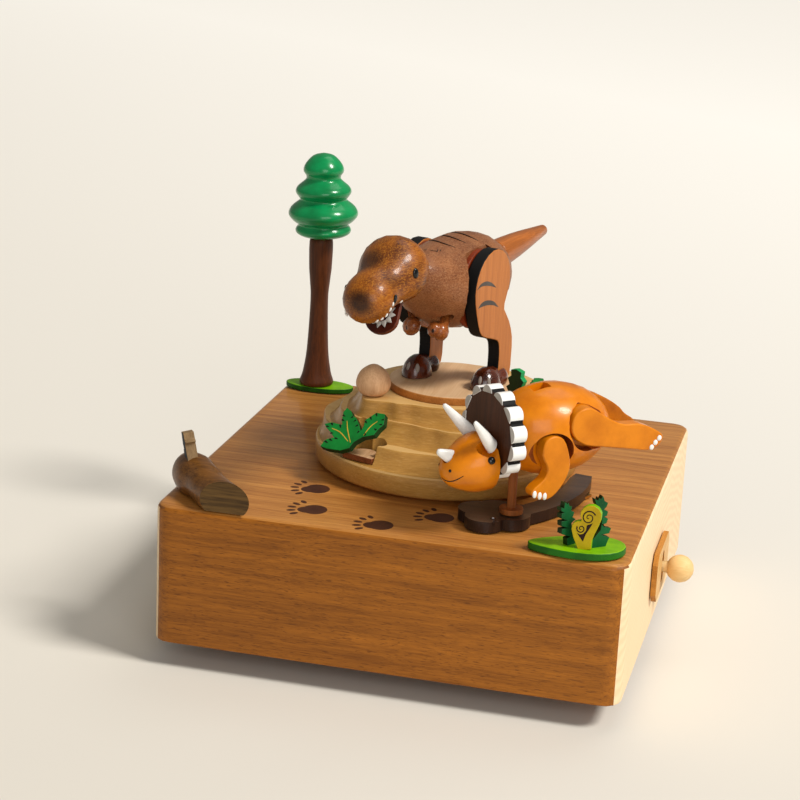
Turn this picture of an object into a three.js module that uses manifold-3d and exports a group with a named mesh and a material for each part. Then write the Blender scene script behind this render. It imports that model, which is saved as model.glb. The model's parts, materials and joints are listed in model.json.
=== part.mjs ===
// A wooden wind-up music box with two turning dinosaur figures.
// The origin is the middle of the underside of the winding base, +Z is up, +X runs to the right
// along the front face and +Y runs to the back. All lengths are millimetres.

import * as THREE from 'three';
import { mergeVertices } from 'three/addons/utils/BufferGeometryUtils.js';
import Module from 'manifold-3d';

const wasm = await Module();
wasm.setup();

// Clearances
const glueGap = 0.3;
const runningGap = 0.35;
const shaftGap = 0.3;
const weldDistance = 0.00005;
const overrun = 2;

// Housing
const boxWidth = 125;
const boxDepth = 125;
const boxHeight = 38;
const standGap = 7;
const cornerRadius = 5;
const edgeRound = 1.6;
const wallThickness = 8;
const topThickness = 8;
const panelThickness = 3;
const panelRecess = 0.6;
const panelLedge = 2;

// Place of the spindle on the deck, from the middle of the deck
const spindleX = 1.8;
const spindleY = 0.4;

// Winding base under the housing
const baseRadius = 40;
const baseThickness = 4.6;
const baseChamfer = 0.8;
const padRadius = 37;
const padThickness = 1.5;
const arborRadius = 3;
const arborSocketDepth = 3.4;

// Movement: bedplate, spring barrel and shafts
const bedplateThickness = 2;
const bedplateWidth = 96;
const bedplateDepth = 66;
const bedplateCorner = 4;
const bedplateShift = -3.5;
const pillarRadius = 3;
const pillarReach = 26;
const pillarTurn = 30;
const barrelRadius = 18.5;
const barrelWall = 1.3;
const barrelFloor = 1.2;
const barrelHeight = 11;
const springThickness = 0.5;
const springPitch = 2;
const springTurns = 6;
const springClear = 0.7;
const spindleRadius = 2;
const postWall = 1.9;
const hubWall = 2;
const gearThickness = 2.8;
const gearHubRadius = 6;
const bridgeThickness = 1.6;
const bridgeBossRadius = 4.6;
const bridgeHubRadius = 12;
const transferShaftRadius = 1.5;
const bearingDepth = 1;

// Gear teeth: counts are free as long as both pairs have the same centre distance
const gearModule = 1.0667;
const driveTeeth = 30;
const lowerPinionTeeth = 15;
const upperPinionTeeth = 9;
const orbitTeeth = 36;
const toothRootShare = 0.58;
const toothTipShare = 0.16;
const addendumShare = 0.9;
const dedendumShare = 1.25;

// Crown ring of the barrel and the pinned cylinder that it drives
const crownTeeth = 32;
const cylinderPinionTeeth = 8;
const crownInset = 0.5;
const crownWidth = 2.6;
const crownFlange = 1.3;
const crownToothModules = 2.25;
const cylinderRadius = 7;
const cylinderLength = 18;
const cylinderGap = 2.4;
const cylinderShaftRadius = 1;
const pinRadius = 0.35;
const pinHeight = 0.6;
const pinRows = 18;
const pinsPerRow = 2;
const brakeModule = 0.6;
const cylinderGearTeeth = 24;
const governorTeeth = 12;
const smallGearThickness = 1.6;
const vaneRadius = 5.2;
const vaneThickness = 0.8;
const vaneLength = 3.6;
const bracketThickness = 1.6;
const bracketWidth = 5;
const bracketTop = 3;

// Comb
const combTeeth = 18;
const combThickness = 0.9;
const tineLength = 14;
const combBackWidth = 7;
const tineSlotShare = 0.3;
const combTipGap = 1;
const combBlockWidth = 6;

// Orbit plate, arm and carrier that walk the horned figure round the hill
const orbitPlateRadius = 17;
const orbitPlateThickness = 0.7;
const armTongueWidth = 8;
const armTongueReach = 45.5;
const armAngle = -24;
const carrierThickness = 3;
const carrierLift = 0.55;
const sickleWidth = 6.5;
const sickleInner = 37.9;
const sickleStart = -10;
const sickleEnd = -60;
const sickleOuterStart = 42.5;
const sickleOuterEnd = 55;
const carrierLobes = 5.2;

// Hill with stepped tiers
const hillRadius = 36.5;
const hillShiftX = -0.5;
const hillShiftY = -0.8;
const hillLift = 1.4;
const rimHeight = 7.5;
const secondTierHeight = 12.3;
const thirdTierHeight = 17.2;
const hillHeight = 22;
const tierRun = 4;
const treadDip = 0.5;
const discRecess = 1.2;

// Outer radius of each tier at every 15 degrees from +X, as shares of the radius of the hill
const secondTierShares = [
  0.932, 0.932, 0.932, 0.937, 0.945, 0.945, 0.945, 0.945, 0.953, 0.959, 0.959, 0.959,
  0.98, 0.955, 0.92, 0.92, 0.899, 0.89, 0.871, 0.888, 0.904, 0.918, 0.932, 0.932,
];
const thirdTierShares = [
  0.822, 0.822, 0.822, 0.822, 0.822, 0.822, 0.822, 0.822, 0.822, 0.822, 0.822, 0.808,
  0.789, 0.825, 0.86, 0.836, 0.68, 0.649, 0.674, 0.729, 0.773, 0.8, 0.822, 0.822,
];
const topTierShares = [
  0.753, 0.74, 0.726, 0.712, 0.696, 0.679, 0.666, 0.658, 0.658, 0.658, 0.658, 0.656,
  0.655, 0.679, 0.699, 0.778, 0.647, 0.575, 0.564, 0.564, 0.564, 0.658, 0.726, 0.745,
];

// Turntable disc of the upright figure
const discRadius = 18.2;
const discThickness = 3;
const discGap = 0.3;

// Egg, nest and leaves on the hill
const eggDiameter = 9.3;
const eggHeight = 7.65;
const eggX = -16.6;
const eggY = -15.6;
const nestWidth = 9.2;
const nestDepth = 6.5;
const nestThickness = 1.7;
const nestX = -16.6;
const nestY = -30;
const nestTurn = 159;
const nestSink = 0.25;
const nestScoop = 3.3;
const nestScoopSpread = 2.4;
const nestScoopDepth = 4.6;
const leafThickness = 1.8;
const leafClusterX = -18.8;
const leafClusterY = -28.9;
const leafClusterRise = 12;
const leafClusterFacing = 240;
const leafClusterSlope = 45;
const leafLength = 11.8;
const leafWidth = 5.6;
const uprightLeafHeight = 10;
const uprightLeafWidth = 6.4;
const uprightLeafX = 21.9;
const uprightLeafY = -9.6;
const uprightLeafTurn = -28;
const sideLeafLength = 11;
const sideLeafWidth = 5;
const sideLeafX = 25;
const sideLeafY = 6.4;
const sideLeafTurn = 100;

// Tree
const treeX = -51.6;
const treeY = 53.4;
const treeBaseLength = 20.6;
const treeBaseWidth = 13.6;
const groundPlateThickness = 2.2;
const trunkTop = 47;
const trunkFootRadius = 5.6;
const canopyTop = 73.9;
const canopyBottom = 47.3;
const canopyRadius = 10.95;

// Ferns
const fernBaseX = 48.2;
const fernBaseY = -56.2;
const fernBaseLength = 25;
const fernBaseWidth = 10.4;
const fernBaseTurn = 6;
const fernThickness = 1.6;
const leftFernX = 46.1;
const leftFernY = -56.9;
const leftFernHeight = 11.1;
const leftFernTurn = 55;
const rightFernX = 54.2;
const rightFernY = -55.2;
const rightFernHeight = 13.3;
const rightFernTurn = 40;
const fernWidth = 6.2;
const curlX = 50.9;
const curlY = -58.9;
const curlHeight = 11.2;
const curlLargeRadius = 3.1;
const curlSmallRadius = 1.9;
const curlStem = 1.9;

// Gourd-shaped stone with its sprout
const stoneX = -53;
const stoneY = -50.2;
const stoneRadius = 7.65;
const stoneHeight = 13.2;
const stoneLobeRadius = 7.4;
const stoneLobeX = -45.4;
const stoneLobeY = -56.2;
const stoneLobeHeight = 8.2;
const stoneFaceY = -60.6;
const sproutWidth = 4.6;
const sproutHeight = 11;
const sproutThickness = 2.6;
const sproutSink = 3;
const sproutX = -54.6;
const sproutTurn = 12;

// Stop lever with its ball knob and slotted plate on the right face
const knobRadius = 3.85;
const knobReach = 6.6;
const knobY = -1;
const knobDrop = 22;
const knobNeckRadius = 1.5;
const leverPivotInset = 24;
const leverTail = 9;
const leverTailWidth = 4;
const leverHubRadius = 3.4;
const leverPinRadius = 1.2;
const leverSwing = 6;
const slotWidth = 4.4;
const slotHeight = 10.4;
const knobPlateThickness = 1.5;
const knobPlateLength = 28;
const knobPlateHeight = 16;
const knobPlateChamfer = 3;
const leverPostWidth = 3;

// Upright figure: tyrannosaur
const rexX = 1.8;
const rexY = 0.9;
const rexHeading = -103;
const rexBodyLength = 55.5;
const rexBodyDiameter = 26;
const rexBodyBack = -24;
const rexBodyHeight = 28.4;
const rexBodyRise = 6.6;
const rexFlat = 7.2;
const rexHipX = 4.8;
const rexHipHeight = 29.2;
const rexHipRadius = 10.9;
const rexHipThickness = 1.5;
const rexHipForward = 1.2;
const rexLegThickness = 3.5;
const rexLegHeight = 39.2;
const rexLegFoot = 1.5;
const rexTailLength = 35;
const rexTailRadius = 4.3;
const rexTailTipRadius = 1.6;
const rexTailRoot = -22;
const rexTailHeight = 31;
const rexTailRise = 1.4;
const rexSkullRadius = 8.5;
const rexSkullX = 40.5;
const rexSkullHeight = 38.4;
const rexMouthX = 40.2;
const rexMouthHeight = 33.6;
const rexJawLength = 12.2;
const rexJawWidth = 9.2;
const rexJawThickness = 1.6;
const rexJawSlope = -56;
const rexMouthSlope = -20;
const rexFootLength = 12.6;
const rexFootWidth = 8.6;
const rexFootHeight = 6.4;
const rexHeelRadius = 3.6;
const rexFootForward = 1.2;
const rexArmRadius = 1.75;
const rexFistRadius = 2.7;
const rexThumbRadius = 2.3;
const rexThumbForward = 1.3;
const rexThumbInward = 1.5;
const rexThumbRise = 0.5;
const hipMargin = 0.6;
const rexShoulderX = 16;
const rexShoulderHeight = 25.2;
const rexFistX = 21.4;
const rexFistHeight = 19.8;
const rexArmSpread = 5.4;

// Shares of the sizes of the tyrannosaur
const rexBodyShares = [
  [0.0, 0.12, 0.12, 0.0], [0.02, 0.26, 0.26, 0.0], [0.08, 0.47, 0.47, 0.0], [0.2, 0.78, 0.78, 0.0],
  [0.36, 0.97, 0.97, 0.0], [0.5, 1.0, 1.0, 0.0], [0.64, 0.94, 0.94, 0.08], [0.78, 0.8, 0.8, 0.3],
  [0.9, 0.62, 0.6, 0.66], [0.97, 0.44, 0.42, 0.9], [1.0, 0.2, 0.2, 1.0],
];
const rexHeadShares = [
  [-0.98, 0.2, 0.2, 0.0], [-0.9, 0.44, 0.44, 0.0], [-0.62, 0.8, 0.79, 0.0], [-0.2, 0.98, 0.98, 0.0],
  [0.14, 0.99, 0.99, -0.01], [0.5, 0.88, 0.9, -0.1], [0.84, 0.74, 0.76, -0.26], [1.16, 0.71, 0.72, -0.43],
  [1.5, 0.74, 0.73, -0.54], [1.84, 0.63, 0.62, -0.6], [2.06, 0.4, 0.4, -0.62], [2.15, 0.14, 0.14, -0.62],
];
const rexLegShares = [
  [0.285, 0.728], [0.249, 0.588], [0.17, 0.43], [0.102, 0.387], [-0.033, 0.344], [-0.14, 0.3],
  [-0.165, 0.239], [-0.17, 0.13], [-0.158, 0], [-0.361, 0], [-0.384, 0.13], [-0.377, 0.29],
  [-0.305, 0.427], [-0.209, 0.539], [-0.239, 0.616], [-0.28, 0.715], [-0.254, 0.855],
  [-0.153, 0.957], [0, 1], [0.158, 0.952], [0.254, 0.85],
];
const hipShare = 0.122;

// Prone figure: triceratops
const triX = 28.6;
const triY = -44.1;
const triHeading = 222.4;
const triStemRadius = 1.35;
const triStemTop = 19.5;
const triFlangeRadius = 3.5;
const triFlangeThickness = 1.5;
const triBodyLength = 31.4;
const triBodyDiameter = 24;
const triBodyFront = 4.6;
const triBodyHeight = 26.3;
const triFlat = 7.8;
const triFrillThickness = 3.4;
const triFrillWidth = 24;
const triFrillRise = 21.4;
const triFrillHeight = 26.2;
const triFrillLobes = 13;
const triFrillScallop = 0.7;
const triHeadLength = 13;
const triHeadDiameter = 16.6;
const triHeadHeight = 18.6;
const triHeadFall = 1.6;
const triTailLength = 27;
const triTailThickness = 3.4;
const triTailFront = -8.5;
const triTailHeight = 34.6;
const triGrooveLength = 5.2;
const triGrooveDepth = 6.8;
const triLegThickness = 3.5;
const triFrontLegHeight = 16.7;
const triFrontLegX = -4.6;
const triFrontLegFoot = 10.8;
const triRearLegLength = 28.4;
const triRearLegX = -9.2;
const triRearLegHeight = 28;
const browHornX = 10.3;
const browHornSpread = 5.2;
const browHornHeight = 24.2;
const browHornLength = 12.4;
const browHornRadius = 2.15;
const browHornLean = 42;
const browHornSplay = 17;
const noseHornX = 17.2;
const noseHornHeight = 21.2;
const noseHornLength = 6.6;
const noseHornRadius = 1.9;
const noseHornLean = 20;
const hornTipShare = 0.3;
const hornSink = 1.6;

// Shares of the sizes of the triceratops
const triBodyShares = [
  [0.0, 0.4, 0.42], [0.05, 0.58, 0.62], [0.16, 0.8, 0.84], [0.32, 0.96, 0.97], [0.48, 1.0, 1.0],
  [0.64, 0.95, 0.94], [0.8, 0.78, 0.77], [0.92, 0.52, 0.52], [0.98, 0.28, 0.28], [1.0, 0.1, 0.1],
];
const triHeadShares = [
  [0.0, 0.98, 0.98, 0.0], [0.2, 1.0, 1.0, 0.05], [0.42, 0.93, 0.92, 0.25], [0.62, 0.78, 0.76, 0.55],
  [0.8, 0.6, 0.58, 0.85], [0.93, 0.37, 0.36, 1.0], [1.0, 0.12, 0.12, 1.05],
];
const triFrontLegShares = [
  [-0.15, 0.934], [0, 1], [0.156, 0.946], [0.21, 0.719], [0.102, 0.479], [0.15, 0.341],
  [0.359, 0.168], [0.335, 0.078], [0.066, 0], [-0.15, 0.162], [-0.287, 0.431], [-0.269, 0.665],
];
const triRearLegShares = [
  [0, 0.042], [-0.042, 0.169], [-0.176, 0.211], [-0.345, 0.116], [-0.535, 0.021], [-0.732, 0],
  [-0.915, -0.077], [-1, -0.144], [-0.972, -0.218], [-0.866, -0.264], [-0.644, -0.229],
  [-0.37, -0.18], [-0.151, -0.134], [-0.039, -0.056],
];
const triTailShares = [
  [0, 0], [-0.281, 0.03], [-0.489, -0.011], [-0.678, -0.1], [-0.815, -0.196], [-0.867, -0.252],
  [-0.993, -0.344], [-0.967, -0.378], [-0.759, -0.348], [-0.5, -0.319], [-0.241, -0.263],
  [-0.037, -0.17],
];

// Steps round the curved pieces
const hillSteps = 60;
const discSteps = 44;
const drumSteps = 30;
const rodSteps = 12;
const figureSteps = 20;
const cornerSteps = 4;
const tierAngles = 24;

// Heights that follow from the sizes above
const deckZ = standGap + boxHeight;
const panelZ = standGap + panelRecess;
const bedplateZ = panelZ + panelThickness + glueGap;
const bedplateTop = bedplateZ + bedplateThickness;
const barrelZ = bedplateTop + runningGap;
const driveGearZ = barrelZ + barrelHeight + glueGap;
const bridgeZ = driveGearZ + gearThickness + runningGap;
const orbitGearZ = bridgeZ + bridgeThickness + runningGap;
const orbitPlateZ = deckZ + runningGap;
const carrierZ = deckZ + carrierLift;
const carrierTop = carrierZ + carrierThickness;
const hillTop = deckZ + hillHeight;
const discZ = hillTop - discRecess + discGap;
const discTop = discZ + discThickness;
const baseZ = padThickness + glueGap;
const postRadius = spindleRadius + shaftGap + postWall;
const hubRadius = postRadius + shaftGap + hubWall;
const transferReach = (gearModule * (driveTeeth + lowerPinionTeeth)) / 2;
const spindleTop = discZ + discThickness / 2;
const crownRadius = barrelRadius + crownInset + crownWidth / 2;
const crownModule = (2 * crownRadius) / crownTeeth;
const crownToothHeight = crownModule * crownToothModules;
const cylinderPinionRadius = (crownModule * cylinderPinionTeeth) / 2;
const crownZ = barrelZ + barrelFloor;
const crownPitchZ = crownZ + crownFlange + crownToothHeight - crownModule * addendumShare;
const cylinderZ = crownPitchZ + cylinderPinionRadius;
const cylinderStart = -(crownRadius + crownWidth / 2 + cylinderGap);
const cylinderEnd = cylinderStart - cylinderLength;
const governorReach = (brakeModule * (cylinderGearTeeth + governorTeeth)) / 2;
const knobZ = deckZ - knobDrop;
const wallX = boxWidth / 2;

function radians(degrees) {
  return THREE.MathUtils.degToRad(degrees);
}

// Meshes and solids

function weld(geometry) {
  const bare = geometry.clone();
  bare.deleteAttribute('normal');
  bare.deleteAttribute('uv');
  const merged = mergeVertices(bare, weldDistance);
  const source = merged.index.array;
  const kept = [];
  for (let i = 0; i < source.length; i += 3) {
    const [a, b, c] = [source[i], source[i + 1], source[i + 2]];
    if (a !== b && b !== c && c !== a) kept.push(a, b, c);
  }
  merged.setIndex(kept);
  return merged;
}

function signedVolume(geometry) {
  const place = geometry.attributes.position;
  const index = geometry.index.array;
  const corners = [new THREE.Vector3(), new THREE.Vector3(), new THREE.Vector3()];
  let volume = 0;
  for (let i = 0; i < index.length; i += 3) {
    corners.forEach((corner, k) => corner.fromBufferAttribute(place, index[i + k]));
    volume += corners[0].dot(corners[1].clone().cross(corners[2])) / 6;
  }
  return volume;
}

function outward(geometry) {
  const welded = weld(geometry);
  if (signedVolume(welded) > 0) return welded;
  const index = Array.from(welded.index.array);
  for (let i = 0; i < index.length; i += 3) {
    const swapped = index[i + 1];
    index[i + 1] = index[i + 2];
    index[i + 2] = swapped;
  }
  welded.setIndex(index);
  return welded;
}

function toSolid(geometry) {
  const closed = outward(geometry);
  return new wasm.Manifold(new wasm.Mesh({
    numProp: 3,
    vertProperties: new Float32Array(closed.attributes.position.array),
    triVerts: new Uint32Array(closed.index.array),
  }));
}

function fromSolid(solid) {
  const mesh = solid.getMesh();
  const geometry = new THREE.BufferGeometry();
  geometry.setAttribute('position', new THREE.BufferAttribute(new Float32Array(mesh.vertProperties), 3));
  geometry.setIndex(Array.from(mesh.triVerts));
  return geometry;
}

function join(first, ...rest) {
  return fromSolid(rest.reduce((whole, piece) => whole.add(toSolid(piece)), toSolid(first)));
}

function cut(base, ...tools) {
  return fromSolid(tools.reduce((whole, tool) => whole.subtract(toSolid(tool)), toSolid(base)));
}

function common(first, second) {
  return fromSolid(toSolid(first).intersect(toSolid(second)));
}

function moved(geometry, x, y, z) {
  return geometry.clone().translate(x, y, z);
}

function turned(geometry, degrees) {
  return geometry.clone().rotateZ(radians(degrees));
}

function mirrored(geometry) {
  return outward(geometry.clone().scale(1, -1, 1));
}

// Outlines

function circle(radius, steps, x = 0, y = 0) {
  const points = [];
  for (let i = 0; i < steps; i += 1) {
    const angle = (2 * Math.PI * i) / steps;
    points.push(new THREE.Vector2(x + radius * Math.cos(angle), y + radius * Math.sin(angle)));
  }
  return points;
}

function roundedRectangle(width, depth, radius, steps = cornerSteps) {
  const points = [];
  const corners = [[1, 1, 0], [-1, 1, 90], [-1, -1, 180], [1, -1, 270]];
  corners.forEach(([sideX, sideY, start]) => {
    for (let i = 0; i <= steps; i += 1) {
      const angle = radians(start + (90 * i) / steps);
      points.push(new THREE.Vector2(
        sideX * (width / 2 - radius) + radius * Math.cos(angle),
        sideY * (depth / 2 - radius) + radius * Math.sin(angle),
      ));
    }
  });
  return points;
}

function smoothOutline(points, steps) {
  const curve = new THREE.CatmullRomCurve3(points.map(([x, y]) => new THREE.Vector3(x, y, 0)), true);
  return curve.getPoints(steps).slice(0, -1).map((point) => new THREE.Vector2(point.x, point.y));
}

function sharedOutline(shares, scale, steps) {
  return smoothOutline(shares.map(([x, y]) => [x * scale, y * scale]), steps);
}

// Moves every point of a closed outline outward, square to its neighbours
function offsetOutline(points, distance) {
  const area = THREE.ShapeUtils.area(points);
  const side = area > 0 ? 1 : -1;
  return points.map((point, i) => {
    const before = points[(i + points.length - 1) % points.length];
    const after = points[(i + 1) % points.length];
    const along = after.clone().sub(before).normalize();
    return new THREE.Vector2(point.x + side * along.y * distance, point.y - side * along.x * distance);
  });
}

// One tooth stands at the given angle in degrees
function gearOutline(teeth, module, toothAngle) {
  const pitchRadius = (module * teeth) / 2;
  const tipRadius = pitchRadius + module * addendumShare;
  const rootRadius = pitchRadius - module * dedendumShare;
  const step = (2 * Math.PI) / teeth;
  const points = [];
  for (let i = 0; i < teeth; i += 1) {
    const middle = radians(toothAngle) + i * step;
    const corners = [
      [rootRadius, -toothRootShare / 2], [tipRadius, -toothTipShare / 2],
      [tipRadius, toothTipShare / 2], [rootRadius, toothRootShare / 2],
    ];
    corners.forEach(([radius, share]) => {
      const angle = middle + share * step;
      points.push(new THREE.Vector2(radius * Math.cos(angle), radius * Math.sin(angle)));
    });
  }
  return points;
}

// Angle of a tooth that leaves a gap at the given angle
function beside(angle, teeth) {
  return angle + 180 / teeth;
}

// Half of a toothed leaf from its foot to its tip, then back down the other side
function leafOutline(length, width, notches) {
  const notchShare = 0.66;
  const side = [];
  for (let i = 0; i < notches; i += 1) {
    const low = (i + 0.15) / notches;
    const high = (i + 0.8) / notches;
    side.push([bladeWidth(low) * notchShare, low], [bladeWidth(high), high]);
  }
  const right = side.map(([across, along]) => [(across * width) / 2, along * length]);
  const left = right.map(([x, y]) => [-x, y]).reverse();
  return [[0, 0], ...right, [0, length], ...left].map(([x, y]) => new THREE.Vector2(x, y));
}

function bladeWidth(share) {
  return 0.35 + 0.65 * Math.sin(Math.PI * Math.min(1, 0.2 + 0.72 * share));
}

// Basic solids

function plate(outline, thickness, holes = []) {
  const shape = new THREE.Shape(outline);
  shape.holes = holes.map((hole) => new THREE.Path(hole));
  return new THREE.ExtrudeGeometry(shape, { depth: thickness, bevelEnabled: false });
}

function plateAt(outline, thickness, z, holes = []) {
  return moved(plate(outline, thickness, holes), 0, 0, z);
}

// A plate that stands in the x-z plane, its outline's y taken as height, centred on y
function standingPlate(outline, thickness, y = 0) {
  return plate(outline, thickness).rotateX(Math.PI / 2).translate(0, y + thickness / 2, 0);
}

function lathe(profile, steps) {
  const points = profile.map(([radius, z]) => new THREE.Vector2(radius, z));
  return outward(new THREE.LatheGeometry(points, steps).rotateX(Math.PI / 2));
}

function rod(radius, low, high, steps = rodSteps) {
  return lathe([[0, low], [radius, low], [radius, high], [0, high]], steps);
}

function rodAlongX(radius, from, to, steps = rodSteps) {
  return rod(radius, from, to, steps).rotateY(Math.PI / 2);
}

function rodAlongY(radius, from, to, steps = rodSteps) {
  return rod(radius, -to, -from, steps).rotateX(Math.PI / 2);
}

function tube(inner, outer, low, high, steps = drumSteps) {
  return lathe([[inner, low], [outer, low], [outer, high], [inner, high], [inner, low]], steps);
}

function ball(radius, steps = rodSteps) {
  return new THREE.SphereGeometry(radius, steps, steps / 2).rotateX(Math.PI / 2);
}

function block(width, depth, height) {
  return new THREE.BoxGeometry(width, depth, height);
}

// Skins a list of rings; the ends are capped unless the rings close on themselves
function skin(rings, closed = false) {
  const count = rings[0].length;
  const positions = rings.flat().flatMap((point) => [point.x, point.y, point.z]);
  const index = [];
  const bands = closed ? rings.length : rings.length - 1;
  for (let band = 0; band < bands; band += 1) {
    const low = band * count;
    const high = ((band + 1) % rings.length) * count;
    for (let i = 0; i < count; i += 1) {
      const next = (i + 1) % count;
      index.push(low + i, low + next, high + next, low + i, high + next, high + i);
    }
  }
  if (!closed) {
    [[rings[0], 0, true], [rings.at(-1), (rings.length - 1) * count, false]].forEach(([ring, first, flip]) => {
      const middle = ring.reduce((sum, point) => sum.add(point), new THREE.Vector3()).divideScalar(count);
      const centre = positions.length / 3;
      positions.push(middle.x, middle.y, middle.z);
      for (let i = 0; i < count; i += 1) {
        const next = (i + 1) % count;
        index.push(centre, first + (flip ? next : i), first + (flip ? i : next));
      }
    });
  }
  const geometry = new THREE.BufferGeometry();
  geometry.setAttribute('position', new THREE.Float32BufferAttribute(positions, 3));
  geometry.setIndex(index);
  return outward(geometry);
}

// A turned body along x: each station gives its place, half width, half height and height
function bodyAlongX(stations, samples, steps = figureSteps) {
  const girth = new THREE.CatmullRomCurve3(stations.map(([x, wide, tall]) => new THREE.Vector3(x, wide, tall)));
  const lift = new THREE.CatmullRomCurve3(stations.map(([x, , , rise]) => new THREE.Vector3(x, rise ?? 0, 0)));
  const rings = [];
  for (let i = 0; i <= samples; i += 1) {
    const station = girth.getPoint(i / samples);
    const rise = lift.getPoint(i / samples).y;
    const ring = [];
    for (let k = 0; k < steps; k += 1) {
      const angle = (2 * Math.PI * k) / steps;
      ring.push(new THREE.Vector3(station.x, station.y * Math.cos(angle), rise + station.z * Math.sin(angle)));
    }
    rings.push(ring);
  }
  return skin(rings);
}

function material(color, roughness, metalness = 0) {
  return new THREE.MeshStandardMaterial({ color, roughness, metalness });
}

const brownWood = material(0xa8703f, 0.55);
const paleWood = material(0xdcb987, 0.6);
const pinkWood = material(0xc9a27a, 0.6);
const tanPly = material(0xc27a45, 0.6);
const redWood = material(0x8a4a1e, 0.35);
const orangeWood = material(0xd9801f, 0.35);
const walnut = material(0x4a2410, 0.6);
const whitePaint = material(0xf2f0ea, 0.35);
const greenPaint = material(0x1e7a3f, 0.5);
const limePaint = material(0x6fb51e, 0.5);
const canopyPaint = material(0x0e8a4e, 0.35);
const olivePaint = material(0xc9b820, 0.5);
const barkWood = material(0x6b3f28, 0.75);
const darkWood = material(0x3a2418, 0.6);
const brass = material(0xc9a24a, 0.35, 1);
const steel = material(0xb9bbbd, 0.35, 1);
const felt = material(0x2b2b2e, 0.95);

const assembly = new THREE.Group();
const housingGroup = new THREE.Group();
const movementGroup = new THREE.Group();
const rexGroup = new THREE.Group();
const triGroup = new THREE.Group();
housingGroup.position.set(-spindleX, -spindleY, 0);
rexGroup.position.set(rexX - spindleX, rexY - spindleY, discTop);
rexGroup.rotation.z = radians(rexHeading);
triGroup.position.set(triX - spindleX, triY - spindleY, deckZ);
triGroup.rotation.z = radians(triHeading);
assembly.add(housingGroup, movementGroup, rexGroup, triGroup);

function add(group, name, geometry, finish) {
  const mesh = new THREE.Mesh(outward(geometry), finish);
  mesh.name = name;
  group.add(mesh);
  return mesh;
}

// Housing, drawn from the middle of the deck

function buildHousing() {
  const rings = [[0, standGap]];
  for (let i = 0; i <= cornerSteps; i += 1) {
    const angle = (Math.PI / 2) * (i / cornerSteps);
    rings.push([edgeRound * (1 - Math.cos(angle)), deckZ - edgeRound * (1 - Math.sin(angle))]);
  }
  const shell = skin(rings.map(([inset, z]) => roundedRectangle(
    boxWidth - 2 * inset,
    boxDepth - 2 * inset,
    cornerRadius - inset,
  ).map((point) => new THREE.Vector3(point.x, point.y, z))));
  const innerWidth = boxWidth - 2 * wallThickness;
  const innerDepth = boxDepth - 2 * wallThickness;
  const ledgeZ = panelZ + panelThickness + glueGap;
  const cavity = plateAt(
    roundedRectangle(innerWidth, innerDepth, cornerRadius),
    deckZ - topThickness - ledgeZ + overrun,
    ledgeZ - overrun,
  );
  const pocket = plateAt(
    roundedRectangle(innerWidth + 2 * panelLedge, innerDepth + 2 * panelLedge, cornerRadius),
    ledgeZ - standGap + overrun,
    standGap - overrun,
  );
  const deckHole = moved(rod(hubRadius + shaftGap, ledgeZ, deckZ + overrun, drumSteps), spindleX, spindleY, 0);
  const slot = moved(block(4 * wallThickness, slotWidth, slotHeight), wallX, knobY, knobZ);
  add(housingGroup, 'housing', cut(shell, cavity, pocket, deckHole, slot), brownWood);
}

function buildBottomPanel() {
  const width = boxWidth - 2 * wallThickness + 2 * panelLedge - 2 * runningGap;
  const depth = boxDepth - 2 * wallThickness + 2 * panelLedge - 2 * runningGap;
  const opening = circle(arborRadius + 2 * shaftGap, drumSteps, spindleX, spindleY);
  const board = plateAt(roundedRectangle(width, depth, cornerRadius), panelThickness, panelZ, [opening]);
  add(housingGroup, 'bottom_panel', board, paleWood);
}

function buildKnobPlate() {
  const half = knobPlateLength / 2;
  const rise = knobPlateHeight / 2;
  const outline = [
    [half, -rise + knobPlateChamfer], [half, rise - knobPlateChamfer],
    [half - knobPlateChamfer, rise], [knobPlateChamfer - half, rise],
    [-half, rise - knobPlateChamfer], [-half, knobPlateChamfer - rise],
    [knobPlateChamfer - half, -rise], [half - knobPlateChamfer, -rise],
  ].map(([y, z]) => new THREE.Vector2(y, z));
  const opening = roundedRectangle(slotWidth, slotHeight, slotWidth / 2 - glueGap);
  const board = plate(outline, knobPlateThickness, [opening]).rotateX(Math.PI / 2).rotateZ(Math.PI / 2);
  add(housingGroup, 'knob_plate', moved(board, wallX + glueGap, knobY, knobZ), paleWood);
}

function buildStopLever() {
  const pivotX = wallX - leverPivotInset;
  const knobX = wallX + knobReach;
  const arm = moved(rodAlongX(knobNeckRadius, pivotX, knobX), 0, knobY, knobZ);
  const knob = moved(ball(knobRadius, figureSteps), knobX, knobY, knobZ);
  const collarStart = wallX + knobPlateThickness + glueGap;
  const collar = lathe([
    [0, 0], [knobNeckRadius, 0], [knobNeckRadius * 1.5, knobX - collarStart], [0, knobX - collarStart],
  ], rodSteps).rotateY(Math.PI / 2);
  const hub = moved(rodAlongY(leverHubRadius, -leverTailWidth / 2, leverTailWidth / 2), pivotX, knobY, knobZ);
  const tail = moved(block(leverTail, leverTailWidth, leverTailWidth / 2), pivotX - leverTail / 2, knobY, knobZ);
  const bore = moved(
    rodAlongY(leverPinRadius + shaftGap, -leverTailWidth, leverTailWidth),
    pivotX,
    knobY,
    knobZ,
  );
  const lever = join(arm, knob, moved(collar, collarStart, knobY, knobZ), hub, tail);
  add(housingGroup, 'stop_lever', cut(lever, bore), paleWood);
}

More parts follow.
